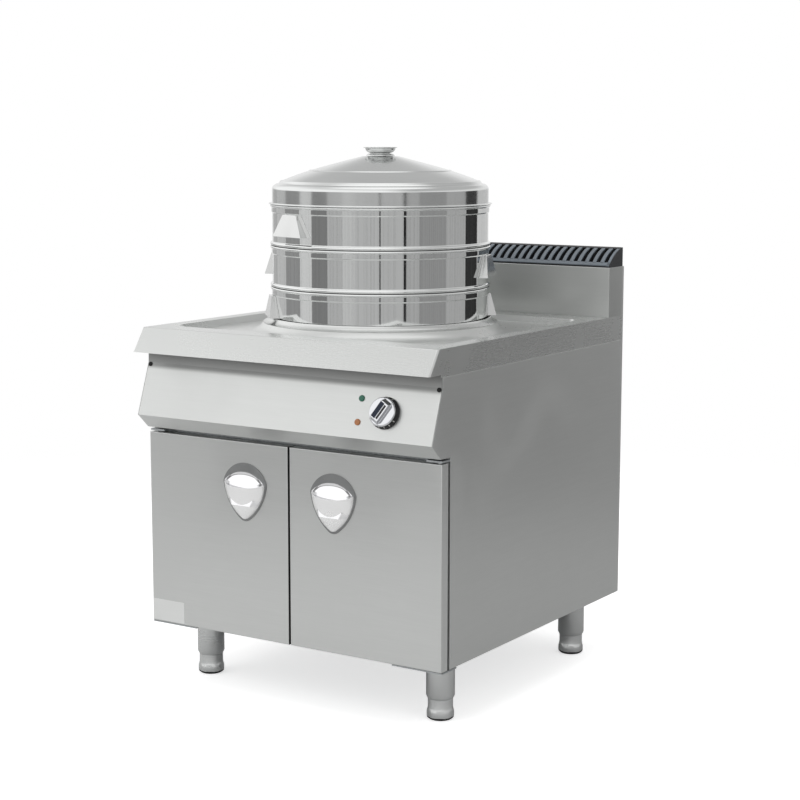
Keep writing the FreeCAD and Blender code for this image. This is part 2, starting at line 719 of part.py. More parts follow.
def make_door_skin():
    x0, x1 = door_edges()
    outer = box(x0, x1, DOOR_Y0, DOOR_Y1, CASE_BOTTOM_Z, DOOR_TOP_Z)
    front = [e for e in outer.Edges if abs(e.CenterOfMass.y - DOOR_Y0) < 0.1]
    outer = outer.makeFillet(DOOR_EDGE_R, front)
    s = DOOR_SHEET
    inner = box(x0 + s, x1 - s, DOOR_Y0 + s, DOOR_Y1 + 1, CASE_BOTTOM_Z + s, DOOR_TOP_Z - s)
    pins = cylinder(HINGE_PIN_R, CASE_BOTTOM_Z - 1, DOOR_TOP_Z + 1, HINGE_X, HINGE_Y)
    return outer.cut(inner).cut(pins)


def make_door_liner():
    # A plate across the back of the skin, with a rib that stands against the skin's front.
    x0, x1 = door_edges()
    s = DOOR_SHEET
    g = s + WELD_GAP / 3
    y1 = DOOR_Y1 - LINER_INSET
    rib_z = CASE_BOTTOM_Z + STIFFENER_UP
    plate = box(x0 + g, x1 - g, y1 - s, y1, CASE_BOTTOM_Z + g, DOOR_TOP_Z - g)
    rib = box(x0 + STIFFENER_INSET, x1 - STIFFENER_INSET, DOOR_Y0 + s, y1 - s, rib_z, rib_z + s)
    return fuse([plate, rib])


def make_hinge_pins():
    low_end = CASE_BOTTOM_Z - HINGE_PLATE_T
    high_end = HINGE_TOP_Z + HINGE_PLATE_T
    low = cylinder(HINGE_PIN_R, low_end, CASE_BOTTOM_Z + HINGE_PIN_IN_DOOR, HINGE_X, HINGE_Y)
    high = cylinder(HINGE_PIN_R, DOOR_TOP_Z - HINGE_PIN_IN_DOOR, high_end, HINGE_X, HINGE_Y)
    return Part.makeCompound([low, high])


def handle_outline(grow, y, top_z):
    # Shield outline: straight sides bend in to a rounded tip, closed at the top by a line or an arc.
    w = HANDLE_HALF_W + grow
    tip_r = HANDLE_TIP_R + grow
    tip_z = HANDLE_RIM_Z - HANDLE_TIP_DROP - grow
    centre_z = tip_z + tip_r
    turn = math.radians(HANDLE_TIP_TURN)
    side_x = tip_r * math.sin(turn)
    side_z = centre_z - tip_r * math.cos(turn)
    bulge_x = w * 0.84
    bulge_z = HANDLE_RIM_Z - HANDLE_TIP_DROP * 0.44

    def at(x, z):
        return V(HANDLE_X + x, y, z)
    edges = [
        Part.Arc(at(-side_x, side_z), at(0, tip_z), at(side_x, side_z)).toShape(),
        Part.Arc(at(side_x, side_z), at(bulge_x, bulge_z), at(w, HANDLE_RIM_Z)).toShape(),
    ]
    if top_z > HANDLE_RIM_Z:
        edges.append(Part.Arc(at(w, HANDLE_RIM_Z), at(0, top_z + grow), at(-w, HANDLE_RIM_Z)).toShape())
    else:
        edges.append(Part.LineSegment(at(w, HANDLE_RIM_Z), at(-w, HANDLE_RIM_Z)).toShape())
    edges.append(Part.Arc(at(-w, HANDLE_RIM_Z), at(-bulge_x, bulge_z), at(-side_x, side_z)).toShape())
    return Part.Face(Part.Wire(edges))


def make_backplate():
    y = DOOR_Y0 - BACKPLATE_T
    plate = handle_outline(BACKPLATE_EDGE, y, HANDLE_RIM_Z + BACKPLATE_RISE)
    return plate.extrude(V(0, BACKPLATE_T, 0))


def handle_envelope(inset):
    # The front of the cup slopes back from the lip to the tip, and bows across.
    y_base = DOOR_Y0 - BACKPLATE_T
    y_lip = y_base - HANDLE_OUT + inset
    y_tip = y_base - HANDLE_TIP_OUT + inset
    tip_z = HANDLE_RIM_Z - HANDLE_TIP_DROP
    lip_z = HANDLE_RIM_Z - HANDLE_LIP_DROP
    wedge = [(y_base, tip_z), (y_tip, tip_z), (y_lip, lip_z), (y_base, HANDLE_RIM_Z)]
    reach = HANDLE_HALF_W + BACKPLATE_EDGE
    body = extrude_yz(wedge, HANDLE_X - reach, HANDLE_X + reach)
    bow_y = y_base - HANDLE_OUT + HANDLE_BOW_R
    bow = Part.makeCylinder(HANDLE_BOW_R - inset, HANDLE_TIP_DROP, V(HANDLE_X, bow_y, tip_z))
    return body.common(bow)


def make_handle():
    # A cup with a slanting mouth, on a thin back that rises behind the mouth in an arch.
    y_base = DOOR_Y0 - BACKPLATE_T
    front = V(0, -HANDLE_OUT, 0)
    back = handle_outline(0.0, y_base, HANDLE_RIM_Z + HANDLE_ARCH_RISE).extrude(V(0, -HANDLE_WALL, 0))
    outer = handle_outline(0.0, y_base, HANDLE_RIM_Z).extrude(front).common(handle_envelope(0.0))
    inner = handle_outline(-HANDLE_WALL, y_base - HANDLE_WALL, HANDLE_RIM_Z).extrude(front)
    inner = inner.common(handle_envelope(HANDLE_WALL))
    mouth = inner.fuse(inner.copy().translate(V(0, 0, HANDLE_WALL)))
    return fuse([outer, back]).cut(mouth)


def make_rating_plate():
    x0 = -HALF_W + DOOR_SIDE_GAP + DOOR_EDGE_R + 1
    z0 = CASE_BOTTOM_Z + DOOR_EDGE_R + 1
    return box(x0, x0 + PLATE_W, DOOR_Y0 - PLATE_T, DOOR_Y0, z0, z0 + PLATE_H)


def make_door_magnets():
    # Two magnet blocks under the upper rail, one for each door's free edge.
    magnets = []
    top = DOOR_TOP_Z - MAGNET_DROP
    for side in (-1, 1):
        x = side * (DOOR_MID_GAP / 2 + MAGNET_FROM_GAP)
        magnets.append(box(x - MAGNET_W / 2, x + MAGNET_W / 2, DOOR_Y1 + MAGNET_GAP, SIDE_FRONT,
                           top - MAGNET_H, top))
    return Part.makeCompound(magnets)


# Legs and feet

def make_leg_plates():
    # Plates that keep in from the side panels. The front two reach out in a tab under the door's pin.
    plates = []
    low = PLATE_TOP_Z - LEG_PLATE_T
    under_door = PLATE_TOP_Z - DOOR_FLOOR_GAP
    for name, (x, y) in LEGS.items():
        side = 1 if x > 0 else -1
        y0 = y - LEG_PLATE_HALF
        y1 = y + LEG_PLATE_HALF
        x_in = x - side * LEG_PLATE_HALF
        x_out = side * (HALF_W - LEG_PLATE_INSET)
        x_edge = side * HALF_W
        if name.startswith("rear"):
            plates.append(box(min(x_in, x_out), max(x_in, x_out), y0, y1, low, PLATE_TOP_Z))
            continue
        y0 = HINGE_Y - HINGE_PLATE_REACH
        lower = box(min(x_in, x_out), max(x_in, x_out), y0, y1, low, under_door)
        upper = box(min(x_in, x_out), max(x_in, x_out), SIDE_FRONT, y1, low, PLATE_TOP_Z)
        tab = box(min(x_in, x_edge), max(x_in, x_edge), y0, y0 + HINGE_TAB_L, low, under_door)
        hole = cylinder(HINGE_PIN_R + RUNNING_GAP, low - 1, PLATE_TOP_Z + 1, side * HINGE_X, HINGE_Y)
        plates.append(fuse([lower, upper, tab]).cut(hole))
    return Part.makeCompound(plates)


def make_leg_tubes():
    # Each tube ends in a threaded plug that carries the foot.
    tubes = []
    top = PLATE_TOP_Z - LEG_PLATE_T
    thread_r = FOOT_THREAD_R + RUNNING_GAP
    for x, y in LEGS.values():
        steps = [
            (thread_r, LEG_END_Z),
            (LEG_NECK_R, LEG_END_Z),
            (LEG_R, LEG_END_Z + LEG_TAPER),
            (LEG_R, top),
            (LEG_R - LEG_WALL, top),
            (LEG_R - LEG_WALL, LEG_END_Z + FOOT_NUT_T),
            (thread_r, LEG_END_Z + FOOT_NUT_T),
        ]
        tubes.append(turned(steps, x, y))
    return Part.makeCompound(tubes)


def make_foot(x, y):
    # A threaded foot with six spanner flats round its flared end.
    top = LEG_END_Z - WELD_GAP
    thread_top = PLATE_TOP_Z - LEG_PLATE_T - 1
    steps = [
        (0.0, FOOT_PAD_H),
        (FOOT_FLARE_R, FOOT_PAD_H),
        (FOOT_FLARE_R, FOOT_FLARE_Z),
        (FOOT_R, FOOT_FLARE_Z + FOOT_FLARE_H),
        (FOOT_R, top),
        (FOOT_THREAD_R, top),
        (FOOT_THREAD_R, thread_top),
        (0.0, thread_top),
    ]
    foot = turned(steps, x, y)
    corner_r = FOOT_HEX_HALF / math.cos(math.pi / 6)
    corners = []
    for i in range(6):
        turn = math.radians(60 * i + 30)
        corners.append(V(corner_r * math.cos(turn), corner_r * math.sin(turn), 0))
    prism = Part.Face(Part.makePolygon(corners + corners[:1])).extrude(V(0, 0, FOOT_HEX_Z))
    around = cylinder(FOOT_FLARE_R * 2, 0, FOOT_HEX_Z).cut(prism)
    return foot.cut(around.translate(V(x, y, 0)))


def make_foot_pad(x, y):
    r = FOOT_PAD_R
    h = FOOT_PAD_H
    return turned([(0.0, 0.0), (r - FOOT_PAD_BEVEL, 0.0), (r, h * 0.67), (r, h), (0.0, h)], x, y)


# Steam ring, tank and pipes

def make_steam_ring():
    s = RING_SHEET
    low = COLLAR_TOP_Z
    inner = SOCKET_R
    hole_r = SPIGOT_R + SPIGOT_GAP
    seat = TIER_SEAT_Z
    steps = [
        (hole_r, seat - s),
        (inner + s, seat - s),
        (inner + s, low),
        (RING_FLANGE_R, low),
        (RING_FLANGE_R, low + s),
        ((RING_TOP_R + RING_FLARE, low + s + (RING_TOP_Z - low) * 0.32), (RING_TOP_R, RING_TOP_Z)),
        (inner, RING_TOP_Z),
        (inner, seat),
        (hole_r, seat),
    ]
    return turned(steps, 0, STACK_CY)


def tank_holes():
    gap = WELD_GAP
    bulb = V(BULB_X, STACK_CY, TANK_BOTTOM_Z + BULB_UP)
    inlet = V(0, INLET_TANK_Y, INLET_TANK_Z)
    return [
        cylinder(DRAIN_R + gap, TANK_BOTTOM_Z - 5, TANK_BOTTOM_Z + 5, DRAIN_X, DRAIN_Y),
        cylinder(OVERFLOW_R + gap, TANK_BOTTOM_Z - 5, TANK_BOTTOM_Z + 5, OVERFLOW_X, OVERFLOW_Y),
        rod(V(INLET_X, inlet.y, inlet.z), inlet, INLET_R + gap),
        rod(V(bulb.x, STACK_CY - 2 * TANK_R, bulb.z), bulb, CAPILLARY_R + gap),
    ]


def make_water_tank():
    top = COLLAR_TOP_Z
    r0 = TANK_R - TANK_WALL
    steps = [
        (0.0, TANK_BOTTOM_Z),
        (TANK_R, TANK_BOTTOM_Z),
        (TANK_R, top),
        (r0, top),
        (r0, TANK_BOTTOM_Z + TANK_WALL),
        (0.0, TANK_BOTTOM_Z + TANK_WALL),
    ]
    tank = turned(steps, 0, STACK_CY)
    return tank.cut(Part.makeCompound(tank_holes() + element_leads(ELEMENT_R + WELD_GAP)))


def element_rings():
    # The radius and height of each heating ring, from the widest and lowest one inwards.
    return [(ELEMENT_OUTER_R - i * ELEMENT_PITCH, ELEMENT_Z + i * ELEMENT_RISE) for i in range(ELEMENT_COUNT)]


def element_leads(r):
    # Each ring leaves the tank on the right through two straight leads.
    leads = []
    for ring_r, z in element_rings():
        x0 = math.sqrt(ring_r ** 2 - ELEMENT_LEAD_GAP ** 2)
        for side in (-1, 1):
            y = STACK_CY + side * ELEMENT_LEAD_GAP
            leads.append(rod(V(x0, y, z), V(TANK_R + ELEMENT_LEAD_OUT, y, z), r))
    return leads


def make_heating_elements():
    loops = []
    for ring_r, z in element_rings():
        gap = math.degrees(math.asin(ELEMENT_LEAD_GAP / ring_r))
        profile = Part.Wire(Part.makeCircle(ELEMENT_R, V(ring_r, 0, 0), V(0, 1, 0)))
        loop = Part.Face(profile).revolve(V(0, 0, 0), V(0, 0, 1), 360 - 2 * gap)
        loops.append(loop.rotate(V(0, 0, 0), V(0, 0, 1), gap).translate(V(0, STACK_CY, z)))
        for side in (-1, 1):
            corner = V(math.sqrt(ring_r ** 2 - ELEMENT_LEAD_GAP ** 2), STACK_CY + side * ELEMENT_LEAD_GAP, z)
            loops.append(Part.makeSphere(ELEMENT_R, corner))
    half = ELEMENT_LEAD_GAP + ELEMENT_HEAD_EDGE
    low = ELEMENT_Z - ELEMENT_HEAD_EDGE
    high = ELEMENT_Z + ELEMENT_RISE * (ELEMENT_COUNT - 1) + ELEMENT_HEAD_EDGE
    head = box(TANK_R - ELEMENT_HEAD_T, TANK_R + ELEMENT_HEAD_T, STACK_CY - half, STACK_CY + half, low, high)
    head = head.cut(cylinder(TANK_R + WELD_GAP, low - 1, high + 1, 0, STACK_CY))
    return fuse([head] + loops + element_leads(ELEMENT_R))


def pipe(points, r):
    # A pipe along straight runs with ball corners, bored right through.
    def core(radius):
        runs = [rod(points[i], points[i + 1], radius) for i in range(len(points) - 1)]
        balls = [Part.makeSphere(radius, p) for p in points[1:-1]]
        return fuse(runs + balls) if len(runs) > 1 else runs[0]
    return core(r).cut(core(r - PIPE_WALL))


def floor_pipe(points, r):
    # A pipe that stands on the floor panel by a ring, and ends below the case in a turned-down spigot.
    x, y, z = points[0]
    spigot = cylinder(r - PIPE_END_STEP, PIPE_END_Z, CASE_BOTTOM_Z, x, y)
    shank = cylinder(r, CASE_BOTTOM_Z, z, x, y)
    ring = cylinder(r + PIPE_NUT_W, z, z + PIPE_NUT_H, x, y)
    bore = cylinder(r - PIPE_WALL, PIPE_END_Z - 1, z + PIPE_NUT_H + 1, x, y)
    return fuse([pipe(points, r), fuse([spigot, shank, ring]).cut(bore)])


def make_drain_pipe():
    # The upper pipe runs from the valve into the tank's floor, the lower one from the valve down.
    tank = V(DRAIN_X, DRAIN_Y, TANK_BOTTOM_Z + TANK_WALL)
    valve_top = V(DRAIN_X, DRAIN_Y, VALVE_Z + VALVE_L / 2)
    valve_low = V(DRAIN_X, DRAIN_Y, VALVE_Z - VALVE_L / 2)
    foot = V(DRAIN_X, DRAIN_Y, PIPE_FOOT_Z)
    return Part.makeCompound([pipe([valve_top, tank], DRAIN_R), floor_pipe([foot, valve_low], DRAIN_R)])


def make_drain_valve():
    body = rounded_prism(DRAIN_X - VALVE_HALF, DRAIN_X + VALVE_HALF,
                         DRAIN_Y - VALVE_HALF, DRAIN_Y + VALVE_HALF,
                         VALVE_Z - VALVE_L / 2, VALVE_Z + VALVE_L / 2, VALVE_CORNER_R)
    bore = cylinder(DRAIN_R - PIPE_WALL, VALVE_Z - VALVE_L, VALVE_Z + VALVE_L, DRAIN_X, DRAIN_Y)
    stem = rod(V(DRAIN_X, DRAIN_Y - VALVE_HALF + 1, VALVE_Z), V(DRAIN_X, STEM_END_Y, VALVE_Z), STEM_R)
    return fuse([body.cut(bore), stem])


def make_drain_lever():
    y1 = STEM_END_Y + LEVER_T + STEM_PROUD
    y0 = y1 - LEVER_T
    bar = box(DRAIN_X, DRAIN_X + LEVER_L, y0, y1, VALVE_Z - LEVER_W / 2, VALVE_Z + LEVER_W / 2)
    hub = rod(V(DRAIN_X, y0, VALVE_Z), V(DRAIN_X, y1, VALVE_Z), LEVER_HUB_R)
    end = rod(V(DRAIN_X + LEVER_L, y0, VALVE_Z), V(DRAIN_X + LEVER_L, y1, VALVE_Z), LEVER_W / 2)
    bore = rod(V(DRAIN_X, y0 - 1, VALVE_Z), V(DRAIN_X, y1 + 1, VALVE_Z), STEM_R + RUNNING_GAP)
    return fuse([bar, hub, end]).cut(bore)


def make_overflow_pipe():
    foot = V(OVERFLOW_X, OVERFLOW_Y, PIPE_FOOT_Z)
    return floor_pipe([foot, V(OVERFLOW_X, OVERFLOW_Y, OVERFLOW_Z)], OVERFLOW_R)


def make_water_inlet():
    low = V(INLET_X, INLET_Y, PIPE_FOOT_Z)
    high = V(INLET_X, INLET_Y, INLET_TANK_Z)
    corner = V(INLET_X, INLET_TANK_Y, INLET_TANK_Z)
    reach = math.sqrt((TANK_R - TANK_WALL) ** 2 - INLET_TANK_DY ** 2)
    return floor_pipe([low, high, corner, V(-reach, INLET_TANK_Y, INLET_TANK_Z)], INLET_R)


# Electrics

def make_contactor():
    w, d, h = CONTACTOR
    x1 = INNER_X
    y0 = FRONT + ELECTRICS_Y
    return box(x1 - w, x1, y0, y0 + d, ELECTRICS_Z, ELECTRICS_Z + h)


def make_terminal_block():
    w, d, h = TERMINAL
    y0 = FRONT + ELECTRICS_Y
    z1 = ELECTRICS_Z - TERMINAL_DROP
    block = box(INNER_X - w, INNER_X, y0, y0 + d, z1 - h, z1)
    slots = []
    for i in range(TERMINAL_WAYS):
        y = y0 + (i + 0.5) * d / TERMINAL_WAYS
        slots.append(box(INNER_X - w - 1, INNER_X - w + TERMINAL_SLOT_D, y - TERMINAL_SLOT / 2,
                         y + TERMINAL_SLOT / 2, z1 - h + TERMINAL_EDGE, z1 - TERMINAL_EDGE))
    return block.cut(Part.makeCompound(slots))


def make_cable_gland():
    top = FLOOR_Z + SHEET + GLAND_NUT_H
    low = FLOOR_Z - GLAND_H
    steps = [
        (GLAND_BORE_R, low),
        (GLAND_R - GLAND_CROWN, low),
        (GLAND_R, low + GLAND_CROWN_H),
        (GLAND_R, FLOOR_Z),
        (GLAND_NECK_R, FLOOR_Z),
        (GLAND_NECK_R, FLOOR_Z + SHEET),
        (GLAND_R, FLOOR_Z + SHEET),
        (GLAND_R, top),
        (GLAND_BORE_R, top),
    ]
    return turned(steps, GLAND_X, GLAND_Y)


# Tiers and lid

def make_tier_wall(seat):
    # From the spigot up: a rolled bead, the wall, a raised band and a rolled rim. The seam is open.
    w = TIER_WALL
    top = seat + TIER_PITCH
    band_top = top - TIER_RIM_H
    band_low = band_top - TIER_BAND_H
    band_in = TIER_BAND_R - w
    slope_top = band_low + TIER_BAND_SLOPE
    seam_r = TIER_RIM_R - TIER_RIM_ROLL
    steps = [
        (SPIGOT_R - w, seat - SPIGOT_H),
        (SPIGOT_R, seat - SPIGOT_H),
        (SPIGOT_R, seat),
        (seam_r, seat),
        ((TIER_RIM_R, seat + TIER_BEAD_H / 2), (seam_r, seat + TIER_BEAD_H)),
        (TIER_R, seat + TIER_BEAD_H),
        (TIER_R, band_low),
        (TIER_BAND_R, slope_top),
        (TIER_BAND_R, band_top),
        ((TIER_RIM_R, band_top + TIER_RIM_H / 2), (seam_r, top)),
        (band_in, top),
        (band_in, slope_top),
        (TIER_R - w, band_low),
        (TIER_R - w, seat + TRAY_UP),
        (SPIGOT_R - w, seat + TRAY_UP),
    ]
    return turned(steps, 0, STACK_CY)


def make_tier_tray(seat):
    # The perforated plate rests on the shoulder above the spigot.
    r = TIER_R - TIER_WALL - TRAY_GAP
    z0 = seat + TRAY_UP
    plate = cylinder(r, z0, z0 + TRAY_T, 0, STACK_CY)
    limit = r - TRAY_EDGE - TRAY_HOLE_R
    row_step = TRAY_HOLE_PITCH * math.sqrt(3) / 2
    rows = int(limit / row_step)
    holes = []
    for j in range(-rows, rows + 1):
        y = j * row_step
        shift = TRAY_HOLE_PITCH / 2 if j % 2 else 0.0
        columns = int(limit / TRAY_HOLE_PITCH) + 1
        for i in range(-columns, columns + 1):
            x = i * TRAY_HOLE_PITCH + shift
            if math.hypot(x, y) <= limit:
                holes.append(cylinder(TRAY_HOLE_R, z0 - 1, z0 + TRAY_T + 1, x, STACK_CY + y))
    return plate.cut(Part.makeCompound(holes))


def grip_block(top_z, inset, widen, back):
    # The hood's solid: X along the wall, Y outward from the wall, Z up. The inset one runs out below.
    hood_top = top_z - TIER_RIM_H - TIER_BAND_H - GRIP_UNDER_BAND
    lean = (GRIP_LOW_OUT - GRIP_TOP_OUT) / GRIP_H
    flare = (GRIP_LOW_W - GRIP_TOP_W) / 2 / GRIP_H
    z1 = hood_top - inset
    z0 = hood_top - GRIP_H - 3 * inset
    y1 = TIER_R + GRIP_TOP_OUT + lean * (hood_top - z1) - inset
    y0 = TIER_R + GRIP_TOP_OUT + lean * (hood_top - z0) - inset
    w1 = GRIP_TOP_W / 2 + flare * (hood_top - z1) - inset * 1.2 + widen
    w0 = GRIP_TOP_W / 2 + flare * (hood_top - z0) - inset * 1.2 + widen
    high = [V(-w1, back, z1), V(w1, back, z1), V(w1, y1, z1), V(-w1, y1, z1)]
    low = [V(-w0, back, z0), V(w0, back, z0), V(w0, y0, z0), V(-w0, y0, z0)]
    faces = [
        Part.Face(Part.makePolygon(high + high[:1])),
        Part.Face(Part.makePolygon(low + low[:1])),
    ]
    for i in range(4):
        j = (i + 1) % 4
        faces.append(Part.Face(Part.makePolygon([high[i], high[j], low[j], low[i], high[i]])))
    return Part.makeSolid(Part.makeShell(faces))


def make_grip(top_z, angle):
    # A folded sheet hood, open below, with a flange round it that follows the wall.
    back = TIER_R * 0.84
    wall_r = TIER_R + WELD_GAP
    outer = grip_block(top_z, 0.0, 0.0, back)
    inner = grip_block(top_z, GRIP_SHEET, 0.0, back - 1)
    flange = grip_block(top_z, 0.0, GRIP_FLANGE, back)
    sheet = cylinder(wall_r + GRIP_SHEET, top_z - TIER_PITCH, top_z)
    hood = fuse([outer, flange.common(sheet)])
    hood = hood.cut(inner).cut(cylinder(wall_r, top_z - TIER_PITCH, top_z))
    hood = hood.rotate(V(0, 0, 0), V(0, 0, 1), angle - 90)
    return hood.translate(V(0, STACK_CY, 0))


def make_tier_grips(seat, angle):
    top_z = seat + TIER_PITCH
    return Part.makeCompound([make_grip(top_z, angle), make_grip(top_z, angle + 180)])


def lid_steps():
    z = STACK_TOP_Z
    w = LID_WALL
    shoulder = z + LID_WALL_H
    crown = z + LID_CROWN_Z
    flange_r = TIER_R + LID_FLANGE_OUT
    crease_r = TIER_R - LID_CREASE_IN
    step_r = TIER_R - LID_STEP_IN
    outside = [
        (flange_r, z),
        (flange_r, z + LID_FLANGE_T),
        (TIER_R, z + LID_FLANGE_T),
        (TIER_R, shoulder),
        ((TIER_R - 3.5, shoulder + 8.0), (TIER_R - LID_SHOULDER_RUN, shoulder + LID_SHOULDER_R + 2.5)),
        (crease_r, z + LID_CREASE_Z),
        (step_r, z + LID_STEP_Z),
        (LID_TOP_R, z + LID_TOP_Z),
        (KNOB_STUD_R + RUNNING_GAP, crown),
    ]
    inside = [
        (KNOB_STUD_R + RUNNING_GAP, crown - w),
        (LID_TOP_R, z + LID_TOP_Z - w),
        (step_r, z + LID_STEP_Z - w),
        (crease_r, z + LID_CREASE_Z - w),
        (TIER_R - LID_SHOULDER_RUN - w * 0.5, shoulder + LID_SHOULDER_R + 2.5 - w),
        ((TIER_R - 3.5 - w, shoulder + 8.0 - w), (TIER_R - w, shoulder)),
        (TIER_R - w, z + LID_FLANGE_T),
        (SPIGOT_R - w, z),
        (SPIGOT_R - w, z - LID_SPIGOT_H),
        (SPIGOT_R, z - LID_SPIGOT_H),
        (SPIGOT_R, z),
    ]
    return outside + inside


def make_lid_shell():
    return turned(lid_steps(), 0, STACK_CY)


def make_lid_knob():
    z = STACK_TOP_Z + LID_CROWN_Z
    top = z + LID_KNOB_H
    stud_low = z - 8
    base = KNOB_BASE_R
    steps = [
        (0.0, stud_low),
        (KNOB_STUD_R, stud_low),
        (KNOB_STUD_R, z),
        (base, z),
        ((base - 3, z + 3.0), (KNOB_NECK_R, z + 4.5)),
        (KNOB_NECK_R, z + 6.5),
        ((KNOB_BOWL_R - 7, z + 11.0), (KNOB_BOWL_R - 5, z + 17.5)),
        (KNOB_BOWL_R, top - 1.2),
        (KNOB_BOWL_R, top),
        (KNOB_BOWL_R - 6, top - 1.0),
        ((KNOB_BOWL_R / 2, top - 5.5), (3.0, top - 7.0)),
        (0.0, top - 7.0),
    ]
    return turned(steps, 0, STACK_CY)


# Assembly

def add(name, shape):
    PARTS[name] = shape


def build_case():
    add("worktop", make_worktop())
    add("splashback", make_splashback())
    add("flue_grille", make_flue_grille())
    add("grille_end_caps", make_grille_caps())
    add("right_side_panel", make_side_panel())
    add("left_side_panel", mirror_x(make_side_panel()))
    add("rear_panel", make_rear_panel())
    add("floor_panel", make_floor_panel())
    add("front_rails", make_front_rails())
    add("control_panel", make_control_panel())
    add("panel_plugs", make_panel_plugs())
    add("green_lamp", make_lamp(GREEN_LAMP_DROP))
    add("amber_lamp", make_lamp(AMBER_LAMP_DROP))
    add("leg_plates", make_leg_plates())
    add("leg_tubes", make_leg_tubes())
    for name, (x, y) in LEGS.items():
        add("foot_" + name, make_foot(x, y))
        add("foot_pad_" + name, make_foot_pad(x, y))


def build_doors():
    right = {
        "door_skin": make_door_skin(),
        "door_liner": make_door_liner(),
        "door_handle": make_handle(),
        "handle_backplate": make_backplate(),
        "hinge_pins": make_hinge_pins(),
    }
    for name, shape in right.items():
        add("right_" + name, shape)
        add("left_" + name, mirror_x(shape))
    add("rating_plate", make_rating_plate())
    add("door_magnets", make_door_magnets())


def build_controls():
    add("thermostat", make_thermostat())
    add("knob_skirt", make_knob_skirt())
    add("knob_cap", make_knob_cap())
    add("contactor", make_contactor())
    add("terminal_block", make_terminal_block())
    add("cable_gland", make_cable_gland())


def build_water():
    add("steam_ring", make_steam_ring())
    add("water_tank", make_water_tank())
    add("heating_elements", make_heating_elements())
    add("drain_pipe", make_drain_pipe())
    add("drain_valve", make_drain_valve())
    add("drain_lever", make_drain_lever())
    add("overflow_pipe", make_overflow_pipe())
    add("water_inlet", make_water_inlet())


def build_stack():
    for i in range(TIER_COUNT):
        seat = TIER_SEAT_Z + i * TIER_PITCH
        prefix = "tier_%d_" % (i + 1)
        add(prefix + "wall", make_tier_wall(seat))
        add(prefix + "tray", make_tier_tray(seat))
        add(prefix + "grips", make_tier_grips(seat, GRIP_ANGLES[i]))
    add("lid_shell", make_lid_shell())
    add("lid_knob", make_lid_knob())


def export():
    os.makedirs("parts", exist_ok=True)
    for name, shape in PARTS.items():
        shape.exportStep("parts/%s.step" % name)


build_case()
build_doors()
build_controls()
build_water()
build_stack()
export()
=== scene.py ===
"""Looks of a floor standing food steamer: steel cabinet, two doors, steam well, three tiers and a lid.

Every length is in metres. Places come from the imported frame's own boxes.
"""

from __future__ import annotations

import json
import logging
import math
from dataclasses import dataclass, field, replace
from enum import Enum
from typing import Callable, Sequence

import bmesh
import bpy
from mathutils import Matrix, Vector

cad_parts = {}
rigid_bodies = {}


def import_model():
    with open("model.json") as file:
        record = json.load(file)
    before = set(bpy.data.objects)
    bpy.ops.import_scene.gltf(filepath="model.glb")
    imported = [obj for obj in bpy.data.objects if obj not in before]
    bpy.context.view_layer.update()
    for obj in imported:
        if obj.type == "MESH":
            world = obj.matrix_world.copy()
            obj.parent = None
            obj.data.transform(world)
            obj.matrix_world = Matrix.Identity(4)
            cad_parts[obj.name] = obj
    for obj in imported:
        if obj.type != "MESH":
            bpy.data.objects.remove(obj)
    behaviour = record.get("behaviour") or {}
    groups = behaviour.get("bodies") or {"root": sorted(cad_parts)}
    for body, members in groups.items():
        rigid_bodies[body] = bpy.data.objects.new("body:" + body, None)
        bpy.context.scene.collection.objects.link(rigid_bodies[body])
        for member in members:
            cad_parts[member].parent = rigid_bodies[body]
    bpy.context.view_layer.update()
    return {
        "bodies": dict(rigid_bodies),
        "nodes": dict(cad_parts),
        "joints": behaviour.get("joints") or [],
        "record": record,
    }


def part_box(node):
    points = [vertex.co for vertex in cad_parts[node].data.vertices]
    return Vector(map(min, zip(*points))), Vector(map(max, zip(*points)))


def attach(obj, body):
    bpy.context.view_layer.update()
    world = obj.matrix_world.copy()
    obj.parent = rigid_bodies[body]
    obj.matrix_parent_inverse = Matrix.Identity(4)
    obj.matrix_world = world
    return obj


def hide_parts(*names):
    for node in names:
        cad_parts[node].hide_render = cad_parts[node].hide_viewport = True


LOG = logging.getLogger("steamer")
MM = 0.001
Pair = tuple[float, float]
Triple = tuple[float, float, float]
Rgba = tuple[float, float, float, float]
Profile = list[Pair]


# Shared shader effects


class Grain(Enum):
    """The way a metal surface was ground or turned."""

    LEVEL = "lines that run level round the piece"
    CROSSWISE = "lines that run from left to right over a flat top"
    TURNED = "rings about an upright axis"
    CAST = "no direction"


def group_tree(name: str, inputs: Sequence[tuple[str, str, float]], outputs: Sequence[tuple[str, str]]):
    """Starts a shader node group with named sockets.

    Args:
        name: The group's name.
        inputs: Name, socket type and default of each input.
        outputs: Name and socket type of each output.

    Returns:
        The tree, its input node and its output node.
    """
    tree = bpy.data.node_groups.new(name, "ShaderNodeTree")
    for label, kind, default in inputs:
        socket = tree.interface.new_socket(name=label, in_out="INPUT", socket_type=kind)
        socket.default_value = default
    for label, kind in outputs:
        tree.interface.new_socket(name=label, in_out="OUTPUT", socket_type=kind)
    return tree, tree.nodes.new("NodeGroupInput"), tree.nodes.new("NodeGroupOutput")


